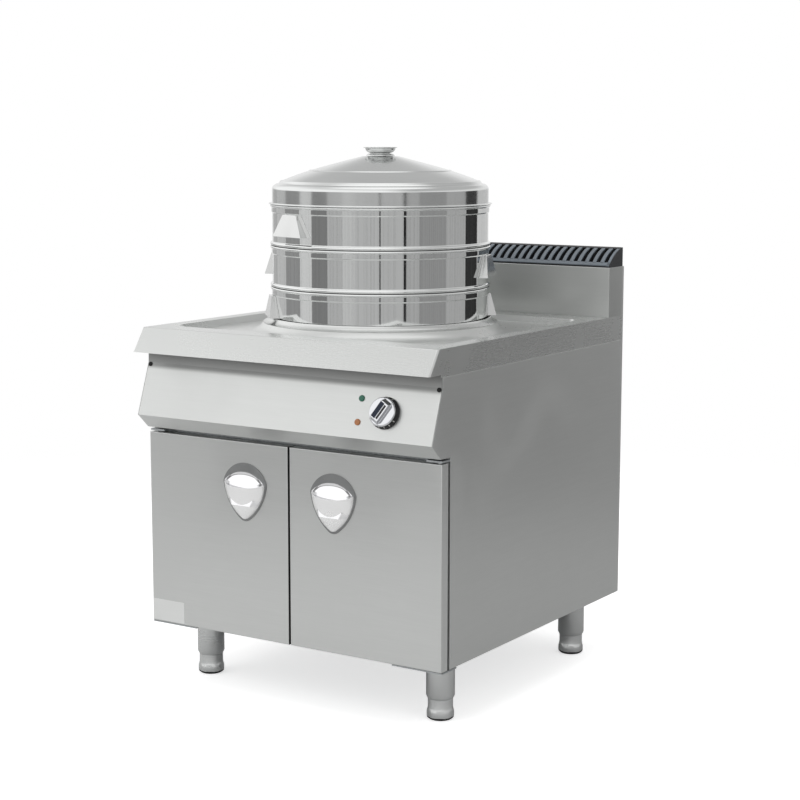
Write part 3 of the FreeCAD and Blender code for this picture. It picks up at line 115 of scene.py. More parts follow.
class NodePen:
    """Places and links shader nodes in one tree."""

    def __init__(self, tree: bpy.types.NodeTree) -> None:
        """Keeps the tree that the pen writes in."""
        self.tree = tree

    def put(self, kind: str, links: dict | None = None, **settings):
        """Adds a node.

        Args:
            kind: The node's class name.
            links: For each input, by name or number, a number, a colour or another node's socket.
            **settings: Properties of the node.

        Returns:
            The new node.
        """
        node = self.tree.nodes.new(kind)
        for key, value in settings.items():
            setattr(node, key, value)
        for key, value in (links or {}).items():
            socket = node.inputs[key]
            if isinstance(value, bpy.types.NodeSocket):
                self.tree.links.new(value, socket)
            else:
                socket.default_value = value
        return node

    def maths(self, operation: str, a, b=0.0, c=0.0):
        """The output of one Math node."""
        return self.put("ShaderNodeMath", {0: a, 1: b, 2: c}, operation=operation).outputs[0]

    def vector(self, operation: str, a, b=(0.0, 0.0, 0.0)):
        """The vector output of one Vector Math node."""
        return self.put("ShaderNodeVectorMath", {0: a, 1: b}, operation=operation).outputs[0]

    def ramp(self, value, low: float, high: float, out_low: float = 0.0, out_high: float = 1.0):
        """A value mapped smoothly from one range to another."""
        node = self.put("ShaderNodeMapRange", {0: value, 1: low, 2: high, 3: out_low, 4: out_high},
                        interpolation_type="SMOOTHSTEP")
        return node.outputs[0]

    def turn_fraction(self, angle):
        """An angle from minus pi to pi mapped to 0 to 1."""
        return self.maths("ADD", self.maths("DIVIDE", angle, math.tau), 0.5)

    def mix(self, factor, a, b):
        """A mix of two colours."""
        return self.put("ShaderNodeMix", {0: factor, 6: a, 7: b}, data_type="RGBA").outputs[2]

    def split(self, vector):
        """The three values of a vector."""
        return self.put("ShaderNodeSeparateXYZ", {0: vector}).outputs

    def combine(self, x, y, z):
        """A vector of three values."""
        return self.put("ShaderNodeCombineXYZ", {0: x, 1: y, 2: z}).outputs[0]

    def dot(self, a, b):
        """The dot product of two vectors."""
        return self.put("ShaderNodeVectorMath", {0: a, 1: b}, operation="DOT_PRODUCT").outputs["Value"]

    def noise(self, place, scale, detail: float, **more):
        """The value of a noise texture at a place."""
        links = {"Vector": place, "Scale": scale, "Detail": detail, **more}
        return self.put("ShaderNodeTexNoise", links).outputs[0]

    def group(self, tree: bpy.types.NodeTree, **links):
        """The outputs of a shared group whose inputs are set by name."""
        return self.put("ShaderNodeGroup", links, node_tree=tree).outputs

    def wire(self, value: bpy.types.NodeSocket, socket: bpy.types.NodeSocket) -> None:
        """Links a value to an input."""
        self.tree.links.new(value, socket)


def make_grain_group() -> bpy.types.NodeTree:
    """Ground lines in a metal surface, as a mask around one half."""
    tree, source, sink = group_tree(
        "ground lines",
        [("Position", "NodeSocketVector", (0.0, 0.0, 0.0)), ("Fineness", "NodeSocketFloat", 900.0),
         ("Length", "NodeSocketFloat", 14.0)],
        [("Mask", "NodeSocketFloat")])
    pen = NodePen(tree)
    at = pen.split(source.outputs["Position"])
    scales = [source.outputs[name] for name in ("Length", "Length", "Fineness")]
    place = pen.combine(*(pen.maths("MULTIPLY", value, scale) for value, scale in zip(at, scales)))
    fine = pen.noise(place, 1.0, 3.0, Roughness=0.6)
    broad = pen.noise(pen.vector("MULTIPLY", place, (0.35, 0.35, 0.11)), 1.0, 2.0)
    pen.wire(pen.maths("ADD", pen.maths("MULTIPLY", fine, 0.65), pen.maths("MULTIPLY", broad, 0.35)),
             sink.inputs["Mask"])
    return tree


def make_smudge_group() -> bpy.types.NodeTree:
    """Soft patches left by hands and cleaning cloths."""
    tree, source, sink = group_tree(
        "smudges",
        [("Position", "NodeSocketVector", (0.0, 0.0, 0.0)), ("Size", "NodeSocketFloat", 5.0)],
        [("Patches", "NodeSocketFloat"), ("Specks", "NodeSocketFloat")])
    pen = NodePen(tree)
    at = source.outputs["Position"]
    patches = pen.noise(at, source.outputs["Size"], 5.0, Roughness=0.55, Distortion=0.6)
    specks = pen.noise(at, 160.0, 2.0, Roughness=0.5)
    pen.wire(pen.ramp(patches, 0.35, 0.68), sink.inputs["Patches"])
    pen.wire(pen.ramp(specks, 0.60, 0.74), sink.inputs["Specks"])
    return tree


def make_edge_group() -> bpy.types.NodeTree:
    """Edges and creases worn bright by handling."""
    tree, source, sink = group_tree(
        "worn edges",
        [("Position", "NodeSocketVector", (0.0, 0.0, 0.0)), ("Width", "NodeSocketFloat", 0.001)],
        [("Wear", "NodeSocketFloat")])
    pen = NodePen(tree)
    bevel = pen.put("ShaderNodeBevel", {"Radius": source.outputs["Width"]}, samples=4).outputs[0]
    edge = pen.ramp(pen.dot(bevel, pen.put("ShaderNodeNewGeometry").outputs["Normal"]), 0.995, 0.86)
    broken = pen.ramp(pen.noise(source.outputs["Position"], 60.0, 3.0), 0.30, 0.60, 0.35, 1.0)
    pen.wire(pen.maths("MULTIPLY", edge, broken), sink.inputs["Wear"])
    return tree


class Effects:
    """The shader groups that the finishes share, each built once."""

    def __init__(self) -> None:
        """Builds the three groups."""
        self.grain = make_grain_group()
        self.smudges = make_smudge_group()
        self.edges = make_edge_group()


# Finishes

END_FACE = 0.6
CAST_GRAIN = 260.0
STEEL_WEAR = 1.2 * MM
STEEL_BUMP = 0.2 * MM
COAT_WEAR = 0.8 * MM
COAT_BUMP = 0.4 * MM
# Painted shade under the control panel's apron: how far it fades in and how dark it gets.
APRON_SHADE_EDGE = 12 * MM
APRON_SHADE_TONE = 0.42


def shade(colour: Triple, factor: float) -> Rgba:
    """A colour made lighter or darker, with an alpha of one."""
    return (min(colour[0] * factor, 1.0), min(colour[1] * factor, 1.0), min(colour[2] * factor, 1.0), 1.0)


def grey(level: float) -> Rgba:
    """A neutral colour with an alpha of one."""
    return (level, level, level, 1.0)


def new_material(name: str) -> tuple[bpy.types.Material, NodePen, bpy.types.Node]:
    """An empty material with its Principled shader joined to the output."""
    material = bpy.data.materials.new(name)
    material.use_nodes = True
    material.node_tree.nodes.clear()
    pen = NodePen(material.node_tree)
    shader = pen.put("ShaderNodeBsdfPrincipled")
    pen.put("ShaderNodeOutputMaterial", {"Surface": shader.outputs[0]})
    return material, pen, shader


@dataclass(frozen=True)
class SteelFinish:
    """Ground, turned or polished steel."""

    name: str
    colour: Triple
    roughness: float
    grain: Grain
    grain_tone: float = 0.10
    grain_height: float = 0.010
    patch_tone: float = 0.05
    patch_rough: float = 0.06
    wear_tone: float = 1.18
    fineness: float = 900.0
    length: float = 14.0
    axis_y: float = 0.0
    metallic: float = 1.0
    # Height above which the steel gets painted shade, standing in for the shade under the apron; 0 for none.
    apron_shade_z: float = 0.0

    def position(self, pen: NodePen, at: bpy.types.NodeSocket) -> bpy.types.NodeSocket:
        """The position whose third value runs across the ground lines."""
        if self.grain in (Grain.LEVEL, Grain.CAST):
            return at
        x, y, z = pen.split(at)
        if self.grain is Grain.CROSSWISE:
            facing = pen.split(pen.put("ShaderNodeTexCoord").outputs["Normal"])
            end_on = pen.maths("GREATER_THAN", pen.maths("ABSOLUTE", facing[0]), END_FACE)
            depth = pen.maths("MULTIPLY", y, pen.maths("SUBTRACT", 1.0, end_on))
            along = pen.maths("ADD", x, pen.maths("MULTIPLY", y, end_on))
            return pen.combine(along, 0.0, pen.maths("ADD", depth, z))
        across = pen.maths("SUBTRACT", y, self.axis_y)
        square = pen.maths("ADD", pen.maths("MULTIPLY", x, x), pen.maths("MULTIPLY", across, across))
        return pen.combine(x, across, pen.maths("ADD", pen.maths("SQRT", square), z))

    def build(self, effects: Effects) -> bpy.types.Material:
        """Makes the material from the shared groups and returns it."""
        material, pen, shader = new_material(self.name)
        at = pen.put("ShaderNodeTexCoord").outputs["Object"]
        fineness, length = (CAST_GRAIN,) * 2 if self.grain is Grain.CAST else (self.fineness, self.length)
        across = self.position(pen, at)
        mask = pen.group(effects.grain, Position=across, Fineness=fineness, Length=length)["Mask"]
        patches = pen.group(effects.smudges, Position=at, Size=4.0)["Patches"]
        wear = pen.group(effects.edges, Position=at, Width=STEEL_WEAR)["Wear"]
        tone = pen.mix(pen.ramp(mask, 0.34, 0.66), shade(self.colour, 1.0 - self.grain_tone),
                       shade(self.colour, 1.0 + self.grain_tone))
        soft = pen.mix(pen.maths("MULTIPLY", patches, 0.5), tone, shade(self.colour, 1.0 - self.patch_tone))
        worn = pen.mix(wear, soft, shade(self.colour, self.wear_tone))
        # Painted shade: above this height the colour is darkened, standing in for the shade that the apron
        # casts.
        if self.apron_shade_z > 0:
            apron_shade = pen.ramp(pen.split(at)[2], self.apron_shade_z, self.apron_shade_z + APRON_SHADE_EDGE)
            worn = pen.mix(apron_shade, worn, shade(self.colour, APRON_SHADE_TONE))
        pen.wire(worn, shader.inputs["Base Color"])
        rough = pen.ramp(patches, 0.0, 1.0, self.roughness, self.roughness + self.patch_rough)
        pen.wire(pen.maths("ADD", rough, pen.ramp(mask, 0.3, 0.7, -0.006, 0.008)), shader.inputs["Roughness"])
        shader.inputs["Metallic"].default_value = self.metallic
        bump = {"Height": mask, "Strength": self.grain_height * 10, "Distance": STEEL_BUMP}
        pen.wire(pen.put("ShaderNodeBump", bump).outputs[0], shader.inputs["Normal"])
        return material


@dataclass(frozen=True)
class CoatFinish:
    """Plastic, rubber or enamel, with a fine texture and a coat where it has one."""

    name: str
    colour: Triple
    roughness: float
    texture: float = 0.15
    texture_scale: float = 700.0
    coat: float = 0.0
    wear_tone: float = 1.6
    glow: float = 0.0
    metallic: float = 0.0

    def build(self, effects: Effects) -> bpy.types.Material:
        """Makes the material from the shared groups and returns it."""
        material, pen, shader = new_material(self.name)
        at = pen.put("ShaderNodeTexCoord").outputs["Object"]
        smudge = pen.group(effects.smudges, Position=at, Size=9.0)
        wear = pen.group(effects.edges, Position=at, Width=COAT_WEAR)["Wear"]
        patched = pen.mix(smudge["Patches"], shade(self.colour, 0.92), shade(self.colour, 1.07))
        specked = pen.mix(pen.maths("MULTIPLY", smudge["Specks"], 0.35), patched, shade(self.colour, 1.25))
        worn = pen.mix(pen.maths("MULTIPLY", wear, 0.6), specked, shade(self.colour, self.wear_tone))
        pen.wire(worn, shader.inputs["Base Color"])
        rough = pen.ramp(smudge["Patches"], 0.0, 1.0, self.roughness, self.roughness + 0.08)
        pen.wire(rough, shader.inputs["Roughness"])
        fine = pen.noise(at, self.texture_scale, 3.0)
        bump = {"Height": fine, "Strength": self.texture, "Distance": COAT_BUMP}
        pen.wire(pen.put("ShaderNodeBump", bump).outputs[0], shader.inputs["Normal"])
        values = {"Metallic": self.metallic, "Coat Weight": self.coat, "Coat Roughness": 0.08}
        for name, value in values.items():
            shader.inputs[name].default_value = value
        if self.glow > 0:
            pen.wire(worn, shader.inputs["Emission Color"])
            shader.inputs["Emission Strength"].default_value = self.glow
        return material


STACK_AXIS_Y = -27 * MM

PANEL_STEEL = SteelFinish("satin steel, level grain", (0.62, 0.63, 0.62), 0.30, Grain.LEVEL, 0.018, 0.004,
                          0.03, 0.04, metallic=0.78)
DOOR_STEEL = replace(PANEL_STEEL, name="satin door steel", colour=(0.65, 0.66, 0.65))
SPLASH_STEEL = replace(PANEL_STEEL, name="satin steel, darker", colour=(0.53, 0.54, 0.53))
# The control panel's steel carries painted shade at its top, where the apron shades it.
CONTROL_STEEL = replace(PANEL_STEEL, name="satin steel with painted shade under the apron", apron_shade_z=741 * MM)
# Painted shade: near black for the door edges seen in the gap between the doors.
GAP_SHADE_STEEL = replace(PANEL_STEEL, name="shaded door edge", colour=(0.03, 0.03, 0.03), roughness=0.6,
                    metallic=0.2)
TOP_STEEL = SteelFinish("satin steel, crosswise grain", (0.64, 0.65, 0.64), 0.27, Grain.CROSSWISE, 0.006,
                        0.0005, 0.03, 0.03, metallic=0.80)
MIRROR_STEEL = SteelFinish("polished steel", (0.76, 0.77, 0.765), 0.035, Grain.LEVEL, 0.006, 0.0006,
                           0.02, 0.02)
# Painted shade: near-black steel for the groove between stacked tiers.
SEAM_SHADE_STEEL = replace(MIRROR_STEEL, name="painted shade in the seam", colour=(0.035, 0.035, 0.035), roughness=0.5)
LID_STEEL = SteelFinish("spun steel", (0.70, 0.71, 0.705), 0.12, Grain.TURNED, 0.012, 0.002, 0.03, 0.03,
                        axis_y=STACK_AXIS_Y)
RING_STEEL = SteelFinish("satin ring steel", (0.66, 0.67, 0.66), 0.24, Grain.TURNED, 0.02, 0.004,
                         axis_y=STACK_AXIS_Y)
TRAY_STEEL = SteelFinish("punched steel", (0.60, 0.61, 0.62), 0.28, Grain.CROSSWISE, 0.06)
GRIP_STEEL = SteelFinish("folded steel", (0.69, 0.695, 0.69), 0.16, Grain.LEVEL, 0.004, 0.0008)
LEG_STEEL = SteelFinish("leg tube steel", (0.66, 0.67, 0.665), 0.26, Grain.LEVEL, 0.02, metallic=0.82)
TANK_STEEL = SteelFinish("tank steel", (0.50, 0.51, 0.52), 0.34, Grain.LEVEL, 0.06)
HIDDEN_STEEL = SteelFinish("zinc coated steel", (0.46, 0.48, 0.49), 0.42, Grain.CAST, 0.14)
PIN_STEEL = SteelFinish("bright bar steel", (0.58, 0.58, 0.59), 0.25, Grain.LEVEL, 0.05)
LABEL_STEEL = SteelFinish("blank label foil", (0.82, 0.83, 0.82), 0.34, Grain.CROSSWISE, 0.02, metallic=0.6)
BRASS = SteelFinish("brass", (0.62, 0.43, 0.16), 0.28, Grain.CAST, 0.10)
CHROME = SteelFinish("chrome", (0.84, 0.84, 0.85), 0.05, Grain.CAST, 0.01, 0.0008, 0.02, 0.03)
CUP_CHROME = replace(CHROME, name="handle chrome", colour=(0.94, 0.94, 0.94), roughness=0.24, metallic=0.74)
KNOB_CHROME = replace(CHROME, name="knob chrome", colour=(0.70, 0.71, 0.73), roughness=0.08)
# Painted dark reflection on the knob cap, beside its grip bar.
KNOB_PAINTED_REFLECTION = replace(CHROME, name="chrome with a painted dark reflection", colour=(0.030, 0.035, 0.048), roughness=0.10)
BLACK_PLASTIC = CoatFinish("black plastic", (0.010, 0.010, 0.011), 0.48)
SKIRT_PLASTIC = CoatFinish("knob skirt plastic", (0.006, 0.006, 0.007), 0.50)
CREAM_PLASTIC = CoatFinish("cream plastic", (0.62, 0.58, 0.46), 0.45)
RUBBER = CoatFinish("black rubber", (0.008, 0.008, 0.008), 0.75, texture=0.4, texture_scale=420.0)
ENAMEL = CoatFinish("grey blue enamel", (0.135, 0.160, 0.185), 0.36, 0.2, 300.0, coat=0.25)
# Black for the grille's end caps, and painted shade on its rear wall, top strip and base, standing for the
# dark inside behind the slots.
BLACK_ENAMEL_AND_SHADE = CoatFinish("black enamel and painted shade", (0.008, 0.009, 0.011), 0.42, 0.2, 300.0)
BACKING = CoatFinish("grey backing plate", (0.25, 0.255, 0.255), 0.34, coat=0.2, metallic=0.5)
GREEN_LENS = CoatFinish("green lens", (0.010, 0.130, 0.078), 0.30, texture=0.05, coat=0.2, glow=0.05)
AMBER_LENS = CoatFinish("amber lens", (0.40, 0.155, 0.052), 0.30, texture=0.05, coat=0.2, glow=0.08)
TICK_PAINT = CoatFinish("white marking", (0.62, 0.62, 0.60), 0.5)


class FinishBook:
    """Builds each finish once and hands out its material."""

    def __init__(self) -> None:
        """Starts with the shared effects and no materials."""
        self.effects = Effects()
        self.made: dict[str, bpy.types.Material] = {}

    def get(self, finish: SteelFinish | CoatFinish) -> bpy.types.Material:
        """The material of a finish."""
        if finish.name not in self.made:
            self.made[finish.name] = finish.build(self.effects)
        return self.made[finish.name]


# Meshes


def link(thing: bpy.types.Object) -> bpy.types.Object:
    """Puts a new object into the scene and returns it."""
    bpy.context.scene.collection.objects.link(thing)
    return thing


def finish_mesh(bm: bmesh.types.BMesh, name: str, sharp: float, recalc: bool = True) -> bpy.types.Object:
    """Turns a bmesh into a shown object with smooth faces and sharp creases.

    Args:
        bm: The mesh in the making, which is freed.
        name: The object's name.
        sharp: Angle in degrees above which an edge stays sharp.
        recalc: Whether faces are turned outwards.

    Returns:
        The object, at the origin.
    """
    bmesh.ops.remove_doubles(bm, verts=bm.verts, dist=2e-6)
    if recalc:
        bmesh.ops.recalc_face_normals(bm, faces=bm.faces)
    limit = math.radians(sharp)
    for face in bm.faces:
        face.smooth = True
    for edge in bm.edges:
        edge.smooth = len(edge.link_faces) == 2 and edge.calc_face_angle(0.0) < limit
    mesh = bpy.data.meshes.new(name)
    bm.to_mesh(mesh)
    bm.free()
    return link(bpy.data.objects.new(name, mesh))


def rounded(points: Profile, radius: float, closed: bool = True) -> Profile:
    """A profile with its sharp corners rounded.

    Args:
        points: The corners in order.
        radius: How far from a corner the rounding starts.
        closed: Whether the last corner joins the first.

    Returns:
        The profile with three points in place of each corner that turns by more than 20 degrees.
    """
    out: Profile = []
    count = len(points)
    for i, here in enumerate(points):
        if not closed and i in (0, count - 1):
            out.append(here)
            continue
        a = Vector(points[i - 1]) - Vector(here)
        b = Vector(points[(i + 1) % count]) - Vector(here)
        if a.length < 1e-7 or b.length < 1e-7 or a.angle(b) > math.radians(160):
            out.append(here)
            continue
        start = Vector(here) + a.normalized() * min(radius, a.length * 0.4)
        end = Vector(here) + b.normalized() * min(radius, b.length * 0.4)
        middle = start * 0.25 + end * 0.25 + Vector(here) * 0.5
        out += [tuple(start), tuple(middle), tuple(end)]
    return out


def held(points: Profile, gap: float) -> Profile:
    """A closed profile with points near both ends of each long straight, which keep its shading flat."""
    out: Profile = []
    for i, (ax, ay) in enumerate(points):
        bx, by = points[(i + 1) % len(points)]
        length = math.hypot(bx - ax, by - ay)
        out.append((ax, ay))
        if length > 5 * gap:
            for share in (gap / length, 1 - gap / length):
                out.append((ax + (bx - ax) * share, ay + (by - ay) * share))
    return out


def arc(start: Pair, middle: Pair, end: Pair, steps: int) -> Profile:
    """Points of the circle through three points, from start to end."""
    ax, ay = start
    bx, by = middle
    cx, cy = end
    d = 2 * (ax * (by - cy) + bx * (cy - ay) + cx * (ay - by))
    ux = ((ax**2 + ay**2) * (by - cy) + (bx**2 + by**2) * (cy - ay) + (cx**2 + cy**2) * (ay - by)) / d
    uy = ((ax**2 + ay**2) * (cx - bx) + (bx**2 + by**2) * (ax - cx) + (cx**2 + cy**2) * (bx - ax)) / d
    r = math.hypot(ax - ux, ay - uy)
    t0 = math.atan2(ay - uy, ax - ux)
    t1 = math.atan2(by - uy, bx - ux)
    t2 = math.atan2(cy - uy, cx - ux)
    turn = (t2 - t0) % math.tau
    if (t1 - t0) % math.tau > turn:
        turn -= math.tau
    return [(ux + r * math.cos(t0 + turn * i / steps), uy + r * math.sin(t0 + turn * i / steps))
            for i in range(steps + 1)]


def lathe(name: str, profile: Profile, centre: Pair, segments: int, sharp: float = 32.0) -> bpy.types.Object:
    """A closed profile turned about an upright axis.

    Args:
        name: The piece's name.
        profile: Radius and height of each corner, in order.
        centre: Where the axis stands.
        segments: Steps round the axis.
        sharp: Angle in degrees above which an edge stays sharp.

    Returns:
        The turned piece.
    """
    bm = bmesh.new()
    x, y = centre
    turns = [math.tau * k / segments for k in range(segments)]
    rings = []
    for r, z in profile:
        if r < 1e-6:
            rings.append([bm.verts.new((x, y, z))] * segments)
        else:
            rings.append([bm.verts.new((x + r * math.cos(t), y + r * math.sin(t), z)) for t in turns])
    for i, low in enumerate(rings):
        high = rings[(i + 1) % len(rings)]
        for k in range(segments):
            corners = [low[k], low[(k + 1) % segments], high[(k + 1) % segments], high[k]]
            unique = list(dict.fromkeys(corners))
            if len(unique) > 2:
                bm.faces.new(unique)
    return finish_mesh(bm, name, sharp)


def prism(name: str, first: Sequence, second: Sequence) -> bpy.types.Object:
    """A closed solid between two outlines with as many corners, given in order as points in space."""
    bm = bmesh.new()
    left, right = ([bm.verts.new(corner) for corner in outline] for outline in (first, second))
    bm.faces.new(left)
    bm.faces.new(list(reversed(right)))
    for i in range(len(left)):
        j = (i + 1) % len(left)
        bm.faces.new([left[i], right[i], right[j], left[j]])
    return finish_mesh(bm, name, 30.0)


def extruded(name: str, outline: Profile, x0: float, x1: float) -> bpy.types.Object:
    """A closed outline of depth and height, drawn out from left to right."""
    return prism(name, [(x0, y, z) for y, z in outline], [(x1, y, z) for y, z in outline])


def soft_copy(node: bpy.types.Object, name: str) -> bpy.types.Object:
    """A merged copy of a frame node's mesh with smooth curves and sharp edges."""
    bm = bmesh.new()
    bm.from_mesh(node.data)
    bm.transform(node.matrix_world)
    bmesh.ops.remove_doubles(bm, verts=bm.verts, dist=2e-6)
    bmesh.ops.dissolve_degenerate(bm, edges=bm.edges, dist=1e-7)
    bmesh.ops.dissolve_limit(bm, angle_limit=math.radians(0.3), verts=bm.verts, edges=bm.edges)
    return finish_mesh(bm, name, 28.0, recalc=False)


def add_bevel(piece: bpy.types.Object, width: float, segments: int = 2) -> None:
    """Rounds a piece's sharp edges by a small width."""
    bevel = piece.modifiers.new("rounded edges", "BEVEL")
    bevel.width = width
    bevel.segments = segments
    bevel.limit_method = "ANGLE"
    bevel.angle_limit = math.radians(35)
    bevel.harden_normals = True


def join(pieces: Sequence[bpy.types.Object], name: str) -> bpy.types.Object:
    """Joins meshes into one new object and removes the old ones."""
    bm = bmesh.new()
    for piece in pieces:
        bm.from_mesh(piece.data)
    mesh = bpy.data.meshes.new(name)
    bm.to_mesh(mesh)
    bm.free()
    for piece in pieces:
        bpy.data.objects.remove(piece)
    return link(bpy.data.objects.new(name, mesh))


# Geometry node trees


class Repeater:
    """Trees that repeat a small mesh in a row or round a circle."""

    def __init__(self) -> None:
        """Builds both trees."""
        self.row = self.make_row()
        self.ring = self.make_ring()

    @staticmethod
    def start(name: str, step_kind: str):
        """Starts a tree with a shape, a count, a step and a material in, and a shape out."""
        tree = bpy.data.node_groups.new(name, "GeometryNodeTree")
        sockets = [("Shape", "NodeSocketGeometry"), ("Count", "NodeSocketInt"), ("Step", step_kind),
                   ("Finish", "NodeSocketMaterial")]
        for label, kind in sockets:
            tree.interface.new_socket(name=label, in_out="INPUT", socket_type=kind)
        tree.interface.new_socket(name="Shape", in_out="OUTPUT", socket_type="NodeSocketGeometry")
        return NodePen(tree), tree.nodes.new("NodeGroupInput").outputs, tree.nodes.new("NodeGroupOutput")

    @staticmethod
    def end(pen: NodePen, given, sink: bpy.types.Node, links: dict) -> bpy.types.NodeTree:
        """Sets a copy of the shape on each point, makes the copies real and gives them their finish."""
        copies = pen.put("GeometryNodeInstanceOnPoints", {"Instance": given["Shape"], **links})
        real = pen.put("GeometryNodeRealizeInstances", {0: copies.outputs[0]})
        paint = pen.put("GeometryNodeSetMaterial", {"Geometry": real.outputs[0], "Material": given["Finish"]})
        pen.wire(paint.outputs[0], sink.inputs[0])
        return pen.tree

    def make_row(self) -> bpy.types.NodeTree:
        """A straight row: the shape is repeated Count times, each a Step further."""
        pen, given, sink = self.start("repeat in a row", "NodeSocketVector")
        links = {"Count": given["Count"], "Offset": given["Step"]}
        line = pen.put("GeometryNodeMeshLine", links, mode="OFFSET")
        return self.end(pen, given, sink, {"Points": line.outputs[0]})

    def make_ring(self) -> bpy.types.NodeTree:
        """Part of a circle about Z: the shape is repeated Count times, each turned a Step further."""
        pen, given, sink = self.start("repeat round a circle", "NodeSocketFloat")
        points = pen.put("GeometryNodePoints", {"Count": given["Count"]})
        angle = pen.maths("MULTIPLY", pen.put("GeometryNodeInputIndex").outputs[0], given["Step"])
        turn = pen.combine(0.0, 0.0, angle)
        return self.end(pen, given, sink, {"Points": points.outputs[0], "Rotation": turn})

    def apply(self, tree: bpy.types.NodeTree, shape: bpy.types.Object, name: str, count: int, step,
              finish: bpy.types.Material) -> bpy.types.Object:
        """Repeats a shape and returns the result as a plain mesh.

        Args:
            tree: The row tree or the ring tree.
            shape: The small object to repeat, which is removed.
            name: The new piece's name.
            count: How many copies.
            step: The vector or the angle from one copy to the next.
            finish: The copies' material.

        Returns:
            One object that holds all copies.
        """
        modifier = shape.modifiers.new("repeat", "NODES")
        modifier.node_group = tree
        keys = {s.name: s.identifier for s in tree.interface.items_tree if s.in_out == "INPUT"}
        modifier[keys["Count"]] = count
        modifier[keys["Step"]] = step
        modifier[keys["Finish"]] = finish
        graph = bpy.context.evaluated_depsgraph_get()
        mesh = bpy.data.meshes.new_from_object(shape.evaluated_get(graph))
        mesh.name = name
        bpy.data.objects.remove(shape)
        return link(bpy.data.objects.new(name, mesh))


# Shared workshop


@dataclass
class Workshop:
    """What every sub-assembly needs: the frame, the finishes and the repeater."""

    frame: dict
    finishes: FinishBook
    repeater: Repeater
    shown: list[str] = field(default_factory=list)

    def paint(self, piece: bpy.types.Object, finish: SteelFinish | CoatFinish) -> None:
        """Gives a piece one finish all over."""
        piece.data.materials.clear()
        piece.data.materials.append(self.finishes.get(finish))

    def own(self, piece: bpy.types.Object, finish: SteelFinish | CoatFinish | None, body: str,
            *nodes: str) -> bpy.types.Object:
        """Paints a new piece, hangs it on its body and lets it stand for frame nodes.

        Args:
            piece: The new piece.
            finish: Its finish, or None where it has its materials already.
            body: The body that it moves with.
            *nodes: The frame nodes that it stands for.

        Returns:
            The same piece.
        """
        if finish is not None:
            self.paint(piece, finish)
        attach(piece, body)
        if nodes:
            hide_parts(*nodes)
        self.report(piece.name, body)
        return piece

    def copy(self, node: str, finish: SteelFinish | CoatFinish, body: str,
             bevel: float = 0.0) -> bpy.types.Object:
        """A softened copy of a frame node that stands for it."""
        piece = soft_copy(self.frame["nodes"][node], node + "_shown")
        if bevel > 0:
            add_bevel(piece, bevel)
        return self.own(piece, finish, body, node)

    def copies(self, body: str, *rows: tuple[str, SteelFinish | CoatFinish, float]) -> None:
        """Softened copies of several nodes, each with its finish and how far its edges are rounded."""
        for node, finish, bevel in rows:
            self.copy(node, finish, body, bevel)

    def second(self, piece: bpy.types.Object, finish: SteelFinish,
               test: Callable[[bpy.types.MeshPolygon], bool]) -> None:
        """Gives those faces of a painted piece that pass the test a second finish; both callers use it for
        painted shade in seams and gaps.
        """
        piece.data.materials.append(self.finishes.get(finish))
        for face in piece.data.polygons:
            if test(face):
                face.material_index = 1

    def report(self, name: str, where: str) -> None:
        """Notes a piece in the log."""
        self.shown.append(name)
        LOG.info("piece %s on %s", name, where)


def box_of(node: str) -> tuple[Vector, Vector]:
    """Lowest and highest corner of a frame node."""
    low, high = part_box(node)
    return Vector(low), Vector(high)


# Sub-assemblies

FINE_EDGE = 0.5 * MM
SOFT_EDGE = 0.6 * MM
FOLD_EDGE = 0.7 * MM
FULL_EDGE = 0.8 * MM
THIN_EDGE = 0.3 * MM
SIDE_FACE = 0.8
TIER_SIDES = 192
KNOB_SIDES = 96
TIER_HOLD = 0.7 * MM
LID_HOLD = 0.9 * MM
STEEP_R = 240 * MM
UPRIGHT_R = 250 * MM


